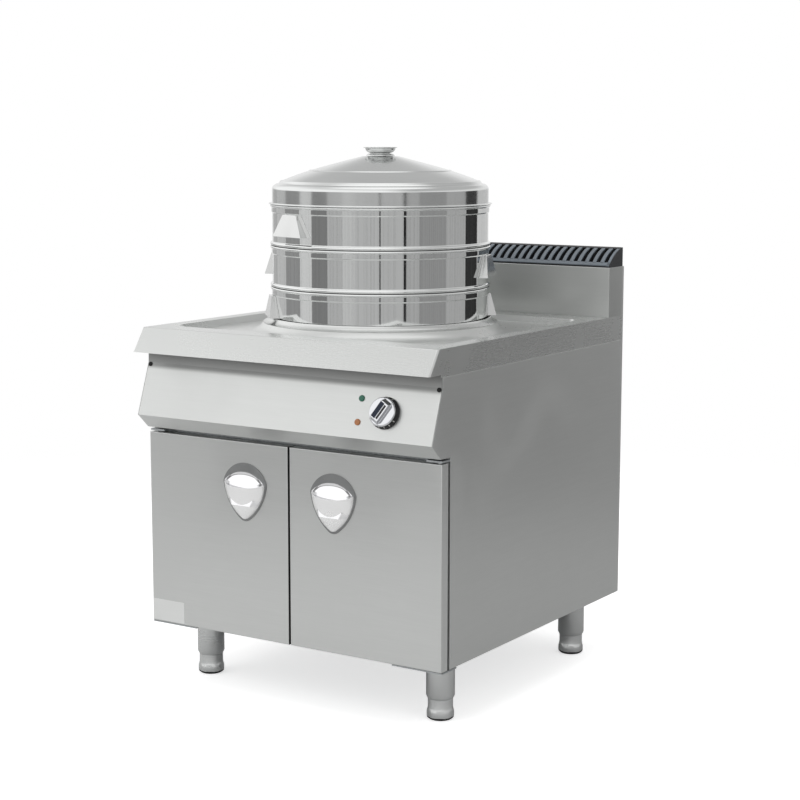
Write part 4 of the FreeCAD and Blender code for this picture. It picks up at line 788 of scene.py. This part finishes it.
@dataclass
class Stack:
    """The three tiers and the lid."""

    shop: Workshop
    wall: float = 1.5 * MM
    spigot_r: float = 249.5 * MM
    spigot_h: float = 9 * MM
    wall_r: float = 252.6 * MM
    band_r: float = 254.6 * MM
    band_h: float = 13 * MM
    band_slope: float = 2 * MM
    rim_r: float = 257.5 * MM
    rim_h: float = 7 * MM
    seam_r: float = 254.0 * MM
    bead_h: float = 9 * MM
    # How far above and below a seam the painted shade reaches.
    seam_shade_reach: float = 0.9 * MM
    tray_up: float = 9.5 * MM
    grip_edge: float = 0.45 * MM
    corner: float = 0.6 * MM
    flange_r: float = 260.7 * MM
    flange_t: float = 2 * MM
    lid_down: float = 8 * MM
    lid_corner: float = 0.8 * MM
    shoulder: tuple[Pair, ...] = ((252.6, 34.0), (249.1, 42.0), (238.6, 46.5))
    creases: tuple[Pair, ...] = ((233.0, 52.0), (165.0, 76.5), (42.0, 109.5), (4.1, 110.3))
    knob_lines: tuple[tuple[tuple[Pair, ...], int], ...] = (
        (((34.0, 0.0), (32.0, 3.0), (23.5, 4.5)), 6), (((23.5, 6.5), (32.5, 11.0), (35.5, 17.5)), 8))
    knob_dish: tuple[Pair, ...] = ((33.5, -1.0), (19.75, -5.5), (0.0, -7.0))
    stud_r: float = 4 * MM
    brim_r: float = 39.5 * MM
    brim_t: float = 1.4 * MM
    cone_bulge: float = 0.7 * MM
    ridge_half: float = 3.8 * MM
    ridge_h: float = 1.5 * MM
    centre: Pair = (0.0, STACK_AXIS_Y)

    def tier_profile(self, low: float, high: float) -> Profile:
        """The section of one tier's wall.

        Args:
            low: Height of the seat.
            high: Height of the rim.

        Returns:
            Radius and height of each corner.
        """
        band_top = high - self.rim_h
        band_low = band_top - self.band_h
        slope_top = band_low + self.band_slope
        inner = self.spigot_r - self.wall
        bead_top = low + self.bead_h
        bead = arc((self.seam_r, low), (self.rim_r, low + self.bead_h / 2), (self.seam_r, bead_top), 10)
        rim = arc((self.band_r, band_top), (self.rim_r, band_top + self.rim_h / 2), (self.seam_r, high), 10)
        outside = [(inner, low - self.spigot_h), (self.spigot_r, low - self.spigot_h), (self.spigot_r, low)]
        outside += bead + [(self.wall_r, bead_top), (self.wall_r, band_low), (self.band_r, slope_top)]
        inside = [(self.band_r - self.wall, high), (self.band_r - self.wall, slope_top),
                  (self.wall_r - self.wall, band_low), (self.wall_r - self.wall, low + self.tray_up),
                  (inner, low + self.tray_up)]
        return held(rounded(outside + rim + inside, self.corner), TIER_HOLD)

    def build_tiers(self) -> None:
        """Builds every tier with its tray and its folded handles."""
        for number in (1, 2, 3):
            node = f"tier_{number}_wall"
            body = f"tier_{number}"
            low, high = box_of(node)
            seat = low.z + self.spigot_h
            wall = lathe(node + "_shown", self.tier_profile(seat, high.z), self.centre, TIER_SIDES)
            self.shop.own(wall, MIRROR_STEEL, body, node)
            # Painted shade in the grooves at the seat and at the rim.
            self.paint_seam_shade(wall, (seat, high.z))
            self.shop.copy(f"tier_{number}_tray", TRAY_STEEL, body)
            self.shop.copy(f"tier_{number}_grips", GRIP_STEEL, body, self.grip_edge)

    def paint_seam_shade(self, piece: bpy.types.Object, heights: Sequence[float]) -> None:
        """Paints shade on the faces down in the groove between two stacked pieces, with a near-black second
        material.
        """
        def in_seam(face: bpy.types.MeshPolygon) -> bool:
            """Whether a face lies in the groove."""
            x, y, z = face.center
            near = min(abs(z - height) for height in heights) < self.seam_shade_reach
            return near and math.hypot(x - self.centre[0], y - self.centre[1]) > self.spigot_r

        self.shop.second(piece, SEAM_SHADE_STEEL, in_seam)

    def cone(self, low: Pair, high: Pair, steps: int) -> Profile:
        """Points between two creases of the lid, on a slightly full line."""
        out = []
        for i in range(1, steps):
            t = i / steps
            full = self.cone_bulge * math.sin(math.pi * t)
            out.append((low[0] + (high[0] - low[0]) * t, low[1] + (high[1] - low[1]) * t + full))
        return out

    def ridge(self, before: Pair, at: Pair, after: Pair) -> Profile:
        """A low raised line pressed along a crease of the lid."""
        down = (Vector(before) - Vector(at)).normalized() * self.ridge_half
        up = (Vector(after) - Vector(at)).normalized() * self.ridge_half
        start, end = Vector(at) + down, Vector(at) + up
        top = Vector(at) + Vector((0.0, self.ridge_h))
        points = (start, start * 0.4 + top * 0.6, top, end * 0.4 + top * 0.6, end)
        return [tuple(point) for point in points]

    def lid_profile(self, seat: float) -> Profile:
        """The section of the lid's shell above its seat."""
        w = self.wall
        top = seat + self.flange_t
        low = seat - self.lid_down
        outside = [(self.spigot_r, low), (self.spigot_r, seat), (self.flange_r, seat), (self.flange_r, top),
                   (self.wall_r, top)]
        round_edge = arc(*((r * MM, seat + z * MM) for r, z in self.shoulder), 12)
        crease, step, crown, hub = ((r * MM, seat + z * MM) for r, z in self.creases)
        skin = round_edge + self.ridge(round_edge[-1], crease, step) + self.cone(crease, step, 8)
        skin += self.ridge(crease, step, crown) + self.cone(step, crown, 12) + [crown, hub]
        under = [(r - (w if r > STEEP_R else 0.0), z - (0.0 if r > UPRIGHT_R else w))
                 for r, z in reversed(skin)]
        inner = self.spigot_r - w
        return outside + skin + under + [(self.wall_r - w, top), (inner, seat), (inner, low)]

    def build_lid(self) -> None:
        """Builds the lid's shell and its dished knob."""
        low, high = box_of("lid_shell")
        profile = held(rounded(self.lid_profile(low.z + self.lid_down), self.lid_corner), LID_HOLD)
        shell = lathe("lid_shell_shown", profile, self.centre, TIER_SIDES, 40.0)
        self.shop.own(shell, LID_STEEL, "lid", "lid_shell")
        knob_line = self.knob_profile(high.z, box_of("lid_knob")[1].z)
        knob = lathe("lid_knob_shown", knob_line, self.centre, KNOB_SIDES)
        self.shop.own(knob, LID_STEEL, "lid", "lid_knob")

    def knob_profile(self, foot: float, top: float) -> Profile:
        """The section of the lid's knob, a dish on a short neck."""
        base, bowl = (arc(*((r * MM, foot + z * MM) for r, z in line), steps)
                      for line, steps in self.knob_lines)
        dish = arc(*((r * MM, top + z * MM) for r, z in self.knob_dish), 10)
        low = foot - self.lid_down
        stud = [(0.0, low), (self.stud_r, low), (self.stud_r, foot)]
        brim = [(self.brim_r, top - self.brim_t), (self.brim_r, top)]
        corner = FINE_EDGE
        return rounded(stud + base + bowl + brim + dish[:-1], corner, closed=False) + [dish[-1]]

    def build(self) -> None:
        """Builds the whole stack."""
        self.build_tiers()
        self.build_lid()


@dataclass
class SteamWell:
    """The ring that carries the stack, the tank under it and what heats it."""

    shop: Workshop

    def build(self) -> None:
        """Builds the ring and dresses the tank and the heating elements."""
        self.shop.copies("cabinet", ("steam_ring", RING_STEEL, 0.0), ("water_tank", TANK_STEEL, 0.0),
                         ("heating_elements", TANK_STEEL, 0.0))


SCREW_SIDES = 16
SCREW_RIM = 0.12 * MM
SCREW_H = 0.28 * MM
SCREW_SLOT = 0.4 * MM


@dataclass
class Case:
    """Worktop, splashback, side panels and the sheets inside the cabinet."""

    shop: Workshop
    screw_count: int = 7
    screw_r: float = 3.4 * MM
    screw_in: float = 5 * MM
    screw_end: float = 30 * MM

    def build(self) -> None:
        """Builds the outer sheets with soft edges and dresses the inner ones."""
        sheets = [("worktop", TOP_STEEL, FOLD_EDGE), ("splashback", SPLASH_STEEL, FULL_EDGE)]
        sheets += [(side + "_panel", PANEL_STEEL, FULL_EDGE) for side in ("right_side", "left_side", "rear")]
        inner = ("floor_panel", "front_rails", "leg_plates")
        sheets += [(node, HIDDEN_STEEL, THIN_EDGE) for node in inner]
        self.shop.copies("cabinet", *sheets, ("door_magnets", PIN_STEEL, FINE_EDGE))
        self.build_rear_screws()

    def build_rear_screws(self) -> None:
        """Screws that hold the rear panel, in two upright rows."""
        low, high = box_of("rear_panel")
        step = (high.z - low.z - 2 * self.screw_end) / (self.screw_count - 1)
        rows = []
        for x in (low.x + self.screw_in, high.x - self.screw_in):
            at = Vector((x, high.y - THIN_EDGE, low.z + self.screw_end))
            screw = pan_screw("screw", at, self.screw_r)
            rows.append(self.shop.repeater.apply(self.shop.repeater.row, screw, "row", self.screw_count,
                                                 (0.0, 0.0, step), self.shop.finishes.get(PIN_STEEL)))
        self.shop.own(join(rows, "rear_panel_screws"), PIN_STEEL, "cabinet")


def pan_screw(name: str, at: Vector, radius: float) -> bpy.types.Object:
    """A low screw head with its face inside the panel's own thickness, looking to the back."""
    bm = bmesh.new()
    turns = [math.tau * k / SCREW_SIDES for k in range(SCREW_SIDES)]
    line = ((1.0, 0.0), (1.0, SCREW_RIM), (0.8, SCREW_H), (0.3, SCREW_H))
    rings = [[bm.verts.new(at + Vector((radius * share * math.cos(t), out, radius * share * math.sin(t))))
              for t in turns] for share, out in line]
    centre = bm.verts.new(at + Vector((0, -SCREW_SLOT, 0)))
    bm.faces.new(rings[0])
    for k in range(SCREW_SIDES):
        j = (k + 1) % SCREW_SIDES
        for low, high in zip(rings, rings[1:]):
            bm.faces.new([low[k], low[j], high[j], high[k]])
        bm.faces.new([rings[-1][k], rings[-1][j], centre])
    return finish_mesh(bm, name, 40.0)


@dataclass
class Flue:
    """The curved grille on the splashback and its two end caps."""

    shop: Workshop
    wall: float = 4 * MM
    rail_h: float = 11 * MM
    slot: float = 11 * MM
    base_h: float = 3.5 * MM
    base_d: float = 8 * MM
    pitch: float = 20.8 * MM
    back_strip: float = 10 * MM
    bar_edge: float = 0.9 * MM
    foot_z: float = 3 * MM
    foot_shrink: float = 1.3
    bow_shrink: float = 0.7
    bow_at: Pair = (0.38, 0.60)
    lap: float = 2 * MM

    def face(self, shrink: float) -> Profile:
        """The grille's curved face from its foot to its back, seen from the side."""
        low, high = box_of("flue_grille")
        depth = high.y - low.y
        height = high.z - low.z
        start = (low.y + shrink * self.foot_shrink, low.z + self.foot_z)
        bow = shrink * self.bow_shrink
        middle = (low.y + depth * self.bow_at[0] + bow, low.z + height * self.bow_at[1] - bow)
        end = (high.y, high.z - shrink)
        return arc(start, middle, end, 28)

    def strip(self, first: Callable[[float, float], bool]) -> Profile:
        """The closed outline of that part of the face for which the test holds."""
        outer = self.face(0.0)
        inner = self.face(self.wall)
        keep = [i for i, (y, z) in enumerate(outer) if first(y, z)]
        return [outer[i] for i in keep] + [inner[i] for i in reversed(keep)]

    def build(self) -> None:
        """Builds the frame, the slats between the slots, and the end caps."""
        low, high = box_of("flue_grille")
        foot_top = low.z + self.rail_h
        back = high.y - self.back_strip
        count = int((high.x - low.x) / self.pitch)
        first = -(count - 1) * self.pitch / 2
        base_top = low.z + self.base_h
        rail = [p for p in self.face(0.0) if base_top < p[1] < foot_top + self.lap]
        base_back = low.y + self.base_d
        base = [(low.y, low.z), (low.y, base_top), (base_back, base_top), (base_back, low.z)]
        inner = rail[-1][0] + self.wall
        foot = [(rail[0][0], base_top)] + rail + [(inner, rail[-1][1] - self.foot_z), (inner, base_top)]
        top = self.strip(lambda y, z: y > back - self.lap)
        wall_y = high.y - self.wall
        wall = [(wall_y, low.z), (wall_y, high.z - self.lap), (high.y, high.z - self.lap / 2),
                (high.y, low.z)]
        whole = self.strip(lambda y, z: True)
        end = first - self.slot / 2
        front = [extruded("foot", foot, low.x, high.x), extruded("left", whole, low.x, end),
                 extruded("right", whole, -end, high.x)]
        # The top strip, the rear wall and the base are near black as painted shade, so the slots read dark.
        dark = [extruded("top", top, low.x, high.x), extruded("wall", wall, low.x, high.x),
                extruded("base", base, low.x, high.x)]
        self.shop.own(join(front, "flue_grille_frame"), ENAMEL, "cabinet", "flue_grille")
        self.shop.own(join(dark, "flue_grille_rear"), BLACK_ENAMEL_AND_SHADE, "cabinet")
        bar = self.strip(lambda y, z: z > foot_top - self.foot_z and y < back + self.lap / 2)
        half = (self.pitch - self.slot) / 2
        slat = extruded("slat", bar, first + self.pitch / 2 - half, first + self.pitch / 2 + half)
        finish = self.shop.finishes.get(ENAMEL)
        slats = self.shop.repeater.apply(self.shop.repeater.row, slat, "flue_grille_slats", count - 1,
                                         (self.pitch, 0.0, 0.0), finish)
        add_bevel(slats, self.bar_edge)
        self.shop.own(slats, None, "cabinet")
        self.shop.copy("grille_end_caps", BLACK_ENAMEL_AND_SHADE, "cabinet", FINE_EDGE)


@dataclass
class Controls:
    """The control panel with its lamps, plugs and thermostat knob."""

    shop: Workshop
    knob_turn: float = 30.0
    tilt: float = math.atan2(41.1, 118.5)
    knob_x: float = 271 * MM
    knob_drop: float = 65 * MM
    bend: Pair = (-395.5 * MM, 758 * MM)
    tick_count: int = 13
    tick_w: float = 1.4 * MM
    tick_line: tuple[Pair, ...] = ((32.6 * MM, 11.3 * MM), (34.6 * MM, 6.3 * MM))
    tick_sink: Pair = (0.6 * MM, 0.4 * MM)
    # Size and place of the painted dark reflection on the knob cap, in the knob's own directions.
    field_size: Triple = (11.5 * MM, 38 * MM, 0.3 * MM)
    field_at: Triple = (-4.4 * MM, 0.0, 26.9 * MM)
    bar_size: Triple = (4.6 * MM, 33.4 * MM, 2.4 * MM)
    bar_at: Triple = (5.5 * MM, 0.0, 25.0 * MM)
    bar_edge: float = 0.3 * MM

    def on_knob(self) -> Matrix:
        """The place of the turned knob: Z looks out of the panel, and Y runs along the grip."""
        centre = Vector((self.knob_x, self.bend[0] - self.knob_drop * math.sin(self.tilt),
                         self.bend[1] - self.knob_drop * math.cos(self.tilt)))
        turned = Matrix.Rotation(math.radians(-self.knob_turn), 4, "Z")
        return Matrix.Translation(centre) @ Matrix.Rotation(math.pi / 2 - self.tilt, 4, "X") @ turned

    def build_ticks(self) -> None:
        """Small white marks round the skirt's bevel."""
        (r0, z0), (r1, z1) = self.tick_line
        half = self.tick_w / 2
        front = [(-half, r0, z0), (half, r0, z0), (half, r1, z1), (-half, r1, z1)]
        tick = prism("tick", front, [(x, y - self.tick_sink[0], z - self.tick_sink[1]) for x, y, z in front])
        step = math.radians(270.0) / (self.tick_count - 1)
        ticks = self.shop.repeater.apply(self.shop.repeater.ring, tick, "knob_marks", self.tick_count, step,
                                         self.shop.finishes.get(TICK_PAINT))
        ticks.data.transform(self.on_knob())
        self.shop.own(ticks, None, "thermostat_knob")

    def block(self, name: str, size: Triple, middle: Triple,
              finish: SteelFinish | CoatFinish, bevel: float = 0.0) -> None:
        """A small block on the knob, placed in the knob's own directions."""
        bm = bmesh.new()
        bmesh.ops.create_cube(bm, size=1.0)
        for vert in bm.verts:
            vert.co = Vector([part * length + place for part, length, place in zip(vert.co, size, middle)])
        bm.transform(self.on_knob())
        piece = finish_mesh(bm, name, 30.0)
        if bevel > 0:
            add_bevel(piece, bevel)
        self.shop.own(piece, finish, "thermostat_knob")

    def build(self) -> None:
        """Builds the panel and everything on it."""
        copies = self.shop.copies
        copies("cabinet", ("control_panel", CONTROL_STEEL, FULL_EDGE), ("panel_plugs", RUBBER, THIN_EDGE),
               ("green_lamp", GREEN_LENS, 0.0), ("amber_lamp", AMBER_LENS, 0.0))
        copies("thermostat_knob", ("knob_skirt", SKIRT_PLASTIC, SOFT_EDGE),
               ("knob_cap", KNOB_CHROME, FULL_EDGE))
        # A thin near-black patch on the cap that stands for a dark reflection in the chrome.
        self.block("knob_painted_reflection", self.field_size, self.field_at, KNOB_PAINTED_REFLECTION)
        copies("cabinet", ("thermostat", PIN_STEEL, FULL_EDGE / 2), ("contactor", BLACK_PLASTIC, FULL_EDGE),
               ("terminal_block", CREAM_PLASTIC, FINE_EDGE), ("cable_gland", BLACK_PLASTIC, FINE_EDGE))
        self.build_ticks()
        self.block("knob_index_bar", self.bar_size, self.bar_at, BLACK_PLASTIC, self.bar_edge)


@dataclass
class Doors:
    """The two doors with their cup handles."""

    shop: Workshop
    gap_reach: float = 5 * MM
    half_w: float = 56 * MM
    rim_z: float = 503 * MM
    lip_drop: float = 9 * MM
    arch_rise: float = 25 * MM
    tip_drop: float = 84 * MM
    tip_r: float = 17 * MM
    tip_turn: float = math.radians(35)
    bulge_at: Pair = (0.84, 0.44)
    bow_power: float = 0.58
    row_power: float = 1.35
    tip_soft: float = 0.6
    dish_slope: float = 0.20
    dish_depth: float = 0.6
    dish_in: float = 1.2 * MM
    edge_share: float = 0.30
    edge_out: float = 3.6 * MM
    edge_rise: float = 2.6 * MM
    out_lip: float = 23 * MM
    out_tip: float = 9 * MM
    wall: float = 1.8 * MM
    rows: int = 44
    columns: int = 56

    def half_width(self, z: float) -> float:
        """Half the shield's width at a height, up to its widest place."""
        tip_z = self.rim_z - self.tip_drop
        centre_z = tip_z + self.tip_r
        side_z = centre_z - self.tip_r * math.cos(self.tip_turn)
        if z <= side_z:
            return math.sqrt(max(self.tip_r**2 - (centre_z - z) ** 2, 0.0))
        bulge = (self.half_w * self.bulge_at[0], self.rim_z - self.tip_drop * self.bulge_at[1])
        flank = arc((self.tip_r * math.sin(self.tip_turn), side_z), bulge, (self.half_w, self.rim_z), 32)
        for (x0, z0), (x1, z1) in zip(flank, flank[1:]):
            if z <= z1:
                return x0 + (x1 - x0) * (z - z0) / (z1 - z0)
        return self.half_w

    @staticmethod
    def sheet(bm: bmesh.types.BMesh, grid: list[list[bmesh.types.BMVert]]) -> None:
        """Fills a grid of points with faces that look to the front."""
        for low_line, high_line in zip(grid, grid[1:]):
            for k in range(len(low_line) - 1):
                bm.faces.new([low_line[k], low_line[k + 1], high_line[k + 1], high_line[k]])

    def cup(self, name: str, middle: float, base: float) -> bpy.types.Object:
        """The bowed front of a handle, with a slanting mouth.

        Args:
            name: The piece's name.
            middle: Where the handle's middle is from left to right.
            base: Depth of the plate that it sits on.

        Returns:
            The cup with a wall thickness.
        """
        tip_z = self.rim_z - self.tip_drop
        lip_z = self.rim_z - self.lip_drop
        bm = bmesh.new()
        grid = []
        for i in range(self.rows + 1):
            line = []
            for k in range(self.columns + 1):
                s = math.sin((2 * k / self.columns - 1) * math.pi / 2)
                bow = max(1 - s * s, 0.0) ** self.bow_power
                z = tip_z + (self.rim_z - self.lip_drop * bow - tip_z) * (i / self.rows) ** self.row_power
                half = self.half_width(z)
                out = self.out_tip + (self.out_lip - self.out_tip) * min((z - tip_z) / (lip_z - tip_z), 1.0)
                out *= min(1.0, half / (self.half_w * self.tip_soft)) ** self.tip_soft
                line.append(bm.verts.new((middle + half * s, base - out * bow, z)))
            grid.append(line)
        self.sheet(bm, grid)
        cup = finish_mesh(bm, name, 70.0, recalc=False)
        solid = cup.modifiers.new("wall", "SOLIDIFY")
        solid.thickness = self.wall
        solid.offset = -1
        add_bevel(cup, FINE_EDGE, 3)
        return cup

    def dish(self, name: str, middle: float, base: float) -> bpy.types.Object:
        """The hollow back of a handle, which rises behind the mouth in an arch with a raised edge."""
        radius = (self.half_w**2 + self.arch_rise**2) / (2 * self.arch_rise)
        top = self.rim_z + self.arch_rise
        low = self.rim_z - self.tip_drop * self.dish_depth
        bm = bmesh.new()
        grid = []
        for i in range(self.rows + 1):
            z = low + (top - low) * math.sin(i / self.rows * math.pi / 2)
            if z > self.rim_z:
                half = math.sqrt(max(radius**2 - (z - top + radius) ** 2, 0.0))
            else:
                half = self.half_width(z) - self.dish_in
            line = []
            for k in range(self.columns + 1):
                s = math.sin((2 * k / self.columns - 1) * math.pi / 2)
                up = max(z - self.rim_z, 0.0) / self.arch_rise
                inward = 1 - max(math.hypot(half * s / self.half_w, up), abs(s) * 0.98 if up > 0 else abs(s))
                ease = min(max(inward / self.edge_share, 0.0), 1.0)
                edge = self.edge_out - self.edge_rise * ease * ease * (3 - 2 * ease)
                out = edge + self.dish_slope * (top - z) * ease
                line.append(bm.verts.new((middle + half * s, base - out, z)))
            grid.append(line)
        self.sheet(bm, grid)
        bmesh.ops.remove_doubles(bm, verts=bm.verts, dist=2e-6)
        border = [edge for edge in bm.edges if len(edge.link_faces) == 1]
        grown = bmesh.ops.extrude_edge_only(bm, edges=border)["geom"]
        for vert in (g for g in grown if isinstance(g, bmesh.types.BMVert)):
            vert.co.y = base
        dish = finish_mesh(bm, name, 40.0, recalc=False)
        add_bevel(dish, FULL_EDGE, 3)
        return dish

    def build_side(self, side: str) -> None:
        """Builds one door."""
        body = side + "_door"
        skin = self.shop.copy(side + "_door_skin", DOOR_STEEL, body, SOFT_EDGE)
        # Painted shade on the skin's side faces next to the gap between the doors.
        self.shop.second(skin, GAP_SHADE_STEEL, lambda face: abs(face.normal.x) > SIDE_FACE
                         and abs(face.center.x) < self.gap_reach)
        self.shop.copies(body, (side + "_door_liner", HIDDEN_STEEL, 0.0),
                         (side + "_handle_backplate", BACKING, FOLD_EDGE),
                         (side + "_hinge_pins", PIN_STEEL, FINE_EDGE))
        low, high = box_of(side + "_door_handle")
        middle = (low.x + high.x) / 2
        self.shop.own(self.cup(side + "_handle_cup", middle, high.y), CUP_CHROME, body, side + "_door_handle")
        self.shop.own(self.dish(side + "_handle_back", middle, high.y), CHROME, body)

    def build(self) -> None:
        """Builds both doors and the blank plate."""
        self.build_side("left")
        self.build_side("right")
        self.shop.copy("rating_plate", LABEL_STEEL, "left_door", THIN_EDGE / 2)


@dataclass
class Legs:
    """The four legs with their screw feet and pads."""

    shop: Workshop
    places: tuple[str, ...] = ("front_left", "front_right", "rear_left", "rear_right")

    def build(self) -> None:
        """Builds tubes, feet and pads."""
        self.shop.copy("leg_tubes", LEG_STEEL, "cabinet", FINE_EDGE)
        for place in self.places:
            self.shop.copies("foot_assembly_" + place, ("foot_" + place, LEG_STEEL, SOFT_EDGE),
                             ("foot_pad_" + place, RUBBER, SOFT_EDGE))


@dataclass
class Plumbing:
    """Pipes, valve and lever under the tank."""

    shop: Workshop

    def build(self) -> None:
        """Dresses the pipes, the valve and its lever."""
        pipes = [(node, TANK_STEEL, 0.0) for node in ("drain_pipe", "overflow_pipe", "water_inlet")]
        self.shop.copies("cabinet", *pipes, ("drain_valve", BRASS, SOFT_EDGE))
        self.shop.copy("drain_lever", BLACK_PLASTIC, "drain_handle", FULL_EDGE)


# Studio


@dataclass
class Studio:
    """Floor, lights, surroundings and camera."""

    lens: float = 81.90
    camera_at: Triple = (2.3596, -3.5919, 1.2842)
    azimuth: float = 32.89
    elevation: float = 8.37
    roll: float = -0.08
    floor_size: float = 9.0
    floor_solid_r: float = 1.5
    floor_end_r: float = 3.2
    floor_tone: float = 0.80
    floor_glow: float = 0.62
    mirrored_floor: Pair = (0.46, 0.74)
    ambient: float = 0.62
    line_scale: float = 150.0
    line_tone: float = 0.12
    back_tones: Pair = (0.92, 0.58)
    front_tones: Pair = (1.22, 0.86)
    zenith_tone: float = 1.30
    front_left: Triple = (-0.545, -0.839, 0.0)
    zones: tuple[Pair, ...] = (
        (0.000, 0.62), (0.017, 0.52), (0.065, 0.24), (0.121, 0.72), (0.165, 0.33), (0.235, 0.60),
        (0.300, 0.50), (0.350, 0.88), (0.450, 0.66), (0.560, 0.03), (0.625, 0.46), (0.700, 0.33),
        (0.790, 0.46), (0.832, 0.02), (0.837, 0.52), (0.905, 0.04), (0.910, 0.54), (0.977, 0.62))

    def build_floor(self) -> None:
        """A plain pale floor that ends softly in the white around it."""
        bpy.ops.mesh.primitive_plane_add(size=self.floor_size)
        floor = bpy.context.object
        floor.name = "studio_floor"
        material, pen, shader = new_material("studio floor")
        at = pen.put("ShaderNodeTexCoord").outputs["Object"]
        radius = pen.put("ShaderNodeVectorMath", {0: at}, operation="LENGTH").outputs["Value"]
        pen.wire(pen.ramp(radius, self.floor_solid_r, self.floor_end_r, 1.0, 0.0), shader.inputs["Alpha"])
        shader.inputs["Roughness"].default_value = 0.9
        shader.inputs["Specular IOR Level"].default_value = 0.0
        shader.inputs["Emission Color"].default_value = grey(1.0)
        path = pen.put("ShaderNodeLightPath")
        mirrored = pen.mix(pen.ramp(pen.dot(at, self.front_left), -0.5, 0.5), *map(grey, self.mirrored_floor))
        shown = pen.mix(path.outputs["Is Glossy Ray"], grey(self.floor_tone), mirrored)
        pen.wire(shown, shader.inputs["Base Color"])
        pen.wire(pen.maths("MULTIPLY", path.outputs["Is Camera Ray"], self.floor_glow),
                 shader.inputs["Emission Strength"])
        floor.data.materials.append(material)

    def build_world(self) -> None:
        """White behind the object; for mirrors, a room with light and dark walls under a pale ceiling."""
        world = bpy.data.worlds.new("studio")
        bpy.context.scene.world = world
        world.use_nodes = True
        world.node_tree.nodes.clear()
        pen = NodePen(world.node_tree)
        way = pen.put("ShaderNodeTexCoord").outputs["Generated"]
        x, y, rise = pen.split(way)
        turn = pen.turn_fraction(pen.maths("ARCTAN2", x, y))
        walls = pen.put("ShaderNodeValToRGB", {0: turn})
        self.set_zones(walls.color_ramp)
        scaled = pen.maths("MULTIPLY", turn, self.line_scale)
        lines = pen.put("ShaderNodeTexNoise", {"W": scaled, "Detail": 1.0}, noise_dimensions="1D")
        drawn = pen.ramp(lines.outputs[0], 0.62, 0.66, 0.0, 0.55)
        lined = pen.mix(drawn, walls.outputs[0], grey(self.line_tone))
        back_tone = pen.mix(pen.ramp(rise, 0.22, 0.50), *map(grey, self.back_tones))
        front_tone = pen.mix(pen.ramp(rise, 0.50, 0.85), *map(grey, self.front_tones))
        ceiling = pen.mix(pen.ramp(pen.dot(way, self.front_left), -0.25, 0.35), back_tone, front_tone)
        ceiling = pen.mix(pen.ramp(rise, 0.82, 0.95), ceiling, grey(self.zenith_tone))
        room = pen.mix(pen.ramp(rise, -0.03, 0.12), lined, ceiling)
        path = pen.put("ShaderNodeLightPath")
        for_diffuse = pen.mix(path.outputs["Is Diffuse Ray"], room, grey(self.ambient))
        final = pen.mix(path.outputs["Is Camera Ray"], for_diffuse, grey(1.0))
        back = pen.put("ShaderNodeBackground", {"Color": final, "Strength": 1.0})
        pen.put("ShaderNodeOutputWorld", {"Surface": back.outputs[0]})

    def set_zones(self, ramp: bpy.types.ColorRamp) -> None:
        """Places the light and dark zones of the room round the horizon."""
        ramp.interpolation = "CONSTANT"
        for element, (place, level) in zip(ramp.elements, (self.zones[0], self.zones[-1])):
            element.position = place
            element.color = grey(level)
        for place, level in self.zones[1:-1]:
            ramp.elements.new(place).color = grey(level)

    def add_light(self, name: str, at: Triple, aim: Triple, size: float, power: float) -> None:
        """Hangs one square soft light and turns it to its aim."""
        light = bpy.data.lights.new(name, "AREA")
        light.shape = "SQUARE"
        light.size = size
        light.energy = power
        lamp = bpy.data.objects.new(name, light)
        lamp.location = at
        lamp.rotation_euler = (Vector(aim) - Vector(at)).to_track_quat("-Z", "Y").to_euler()
        lamp.visible_glossy = False
        link(lamp)

    def build_lights(self) -> None:
        """A large key light from the left, a top light and a weak fill."""
        self.add_light("key light", (-2.6, -3.4, 3.4), (0.0, 0.0, 0.6), 2.2, 42.0)
        self.add_light("top light", (0.3, -0.4, 4.2), (0.0, 0.0, 0.8), 2.4, 40.0)
        self.add_light("fill light", (3.6, -0.8, 2.2), (0.0, 0.0, 0.6), 2.0, 10.0)

    def build_camera(self) -> None:
        """The camera of the photograph."""
        data = bpy.data.cameras.new("camera")
        data.lens = self.lens
        data.sensor_width = 36.0
        data.sensor_fit = "AUTO"
        camera = bpy.data.objects.new("camera", data)
        camera.location = self.camera_at
        turns = (90.0 - self.elevation, self.roll, self.azimuth)
        camera.rotation_euler = [math.radians(turn) for turn in turns]
        bpy.context.scene.camera = link(camera)

    def build(self) -> None:
        """Sets the whole studio up."""
        self.build_floor()
        self.build_world()
        self.build_lights()
        self.build_camera()
        bpy.context.scene.view_settings.view_transform = "Standard"


def main() -> None:
    """Builds every sub-assembly in order."""
    logging.basicConfig(level=logging.INFO, format="%(name)s: %(message)s")
    for thing in list(bpy.data.objects):
        bpy.data.objects.remove(thing)
    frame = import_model()
    shop = Workshop(frame, FinishBook(), Repeater())
    for assembly in (Case, Flue, Controls, Doors, Legs, Plumbing, SteamWell, Stack):
        assembly(shop).build()
        LOG.info("built %s", assembly.__name__)
    Studio().build()
    LOG.info("%d pieces shown", len(shop.shown))


if __name__ == "__main__":
    main()
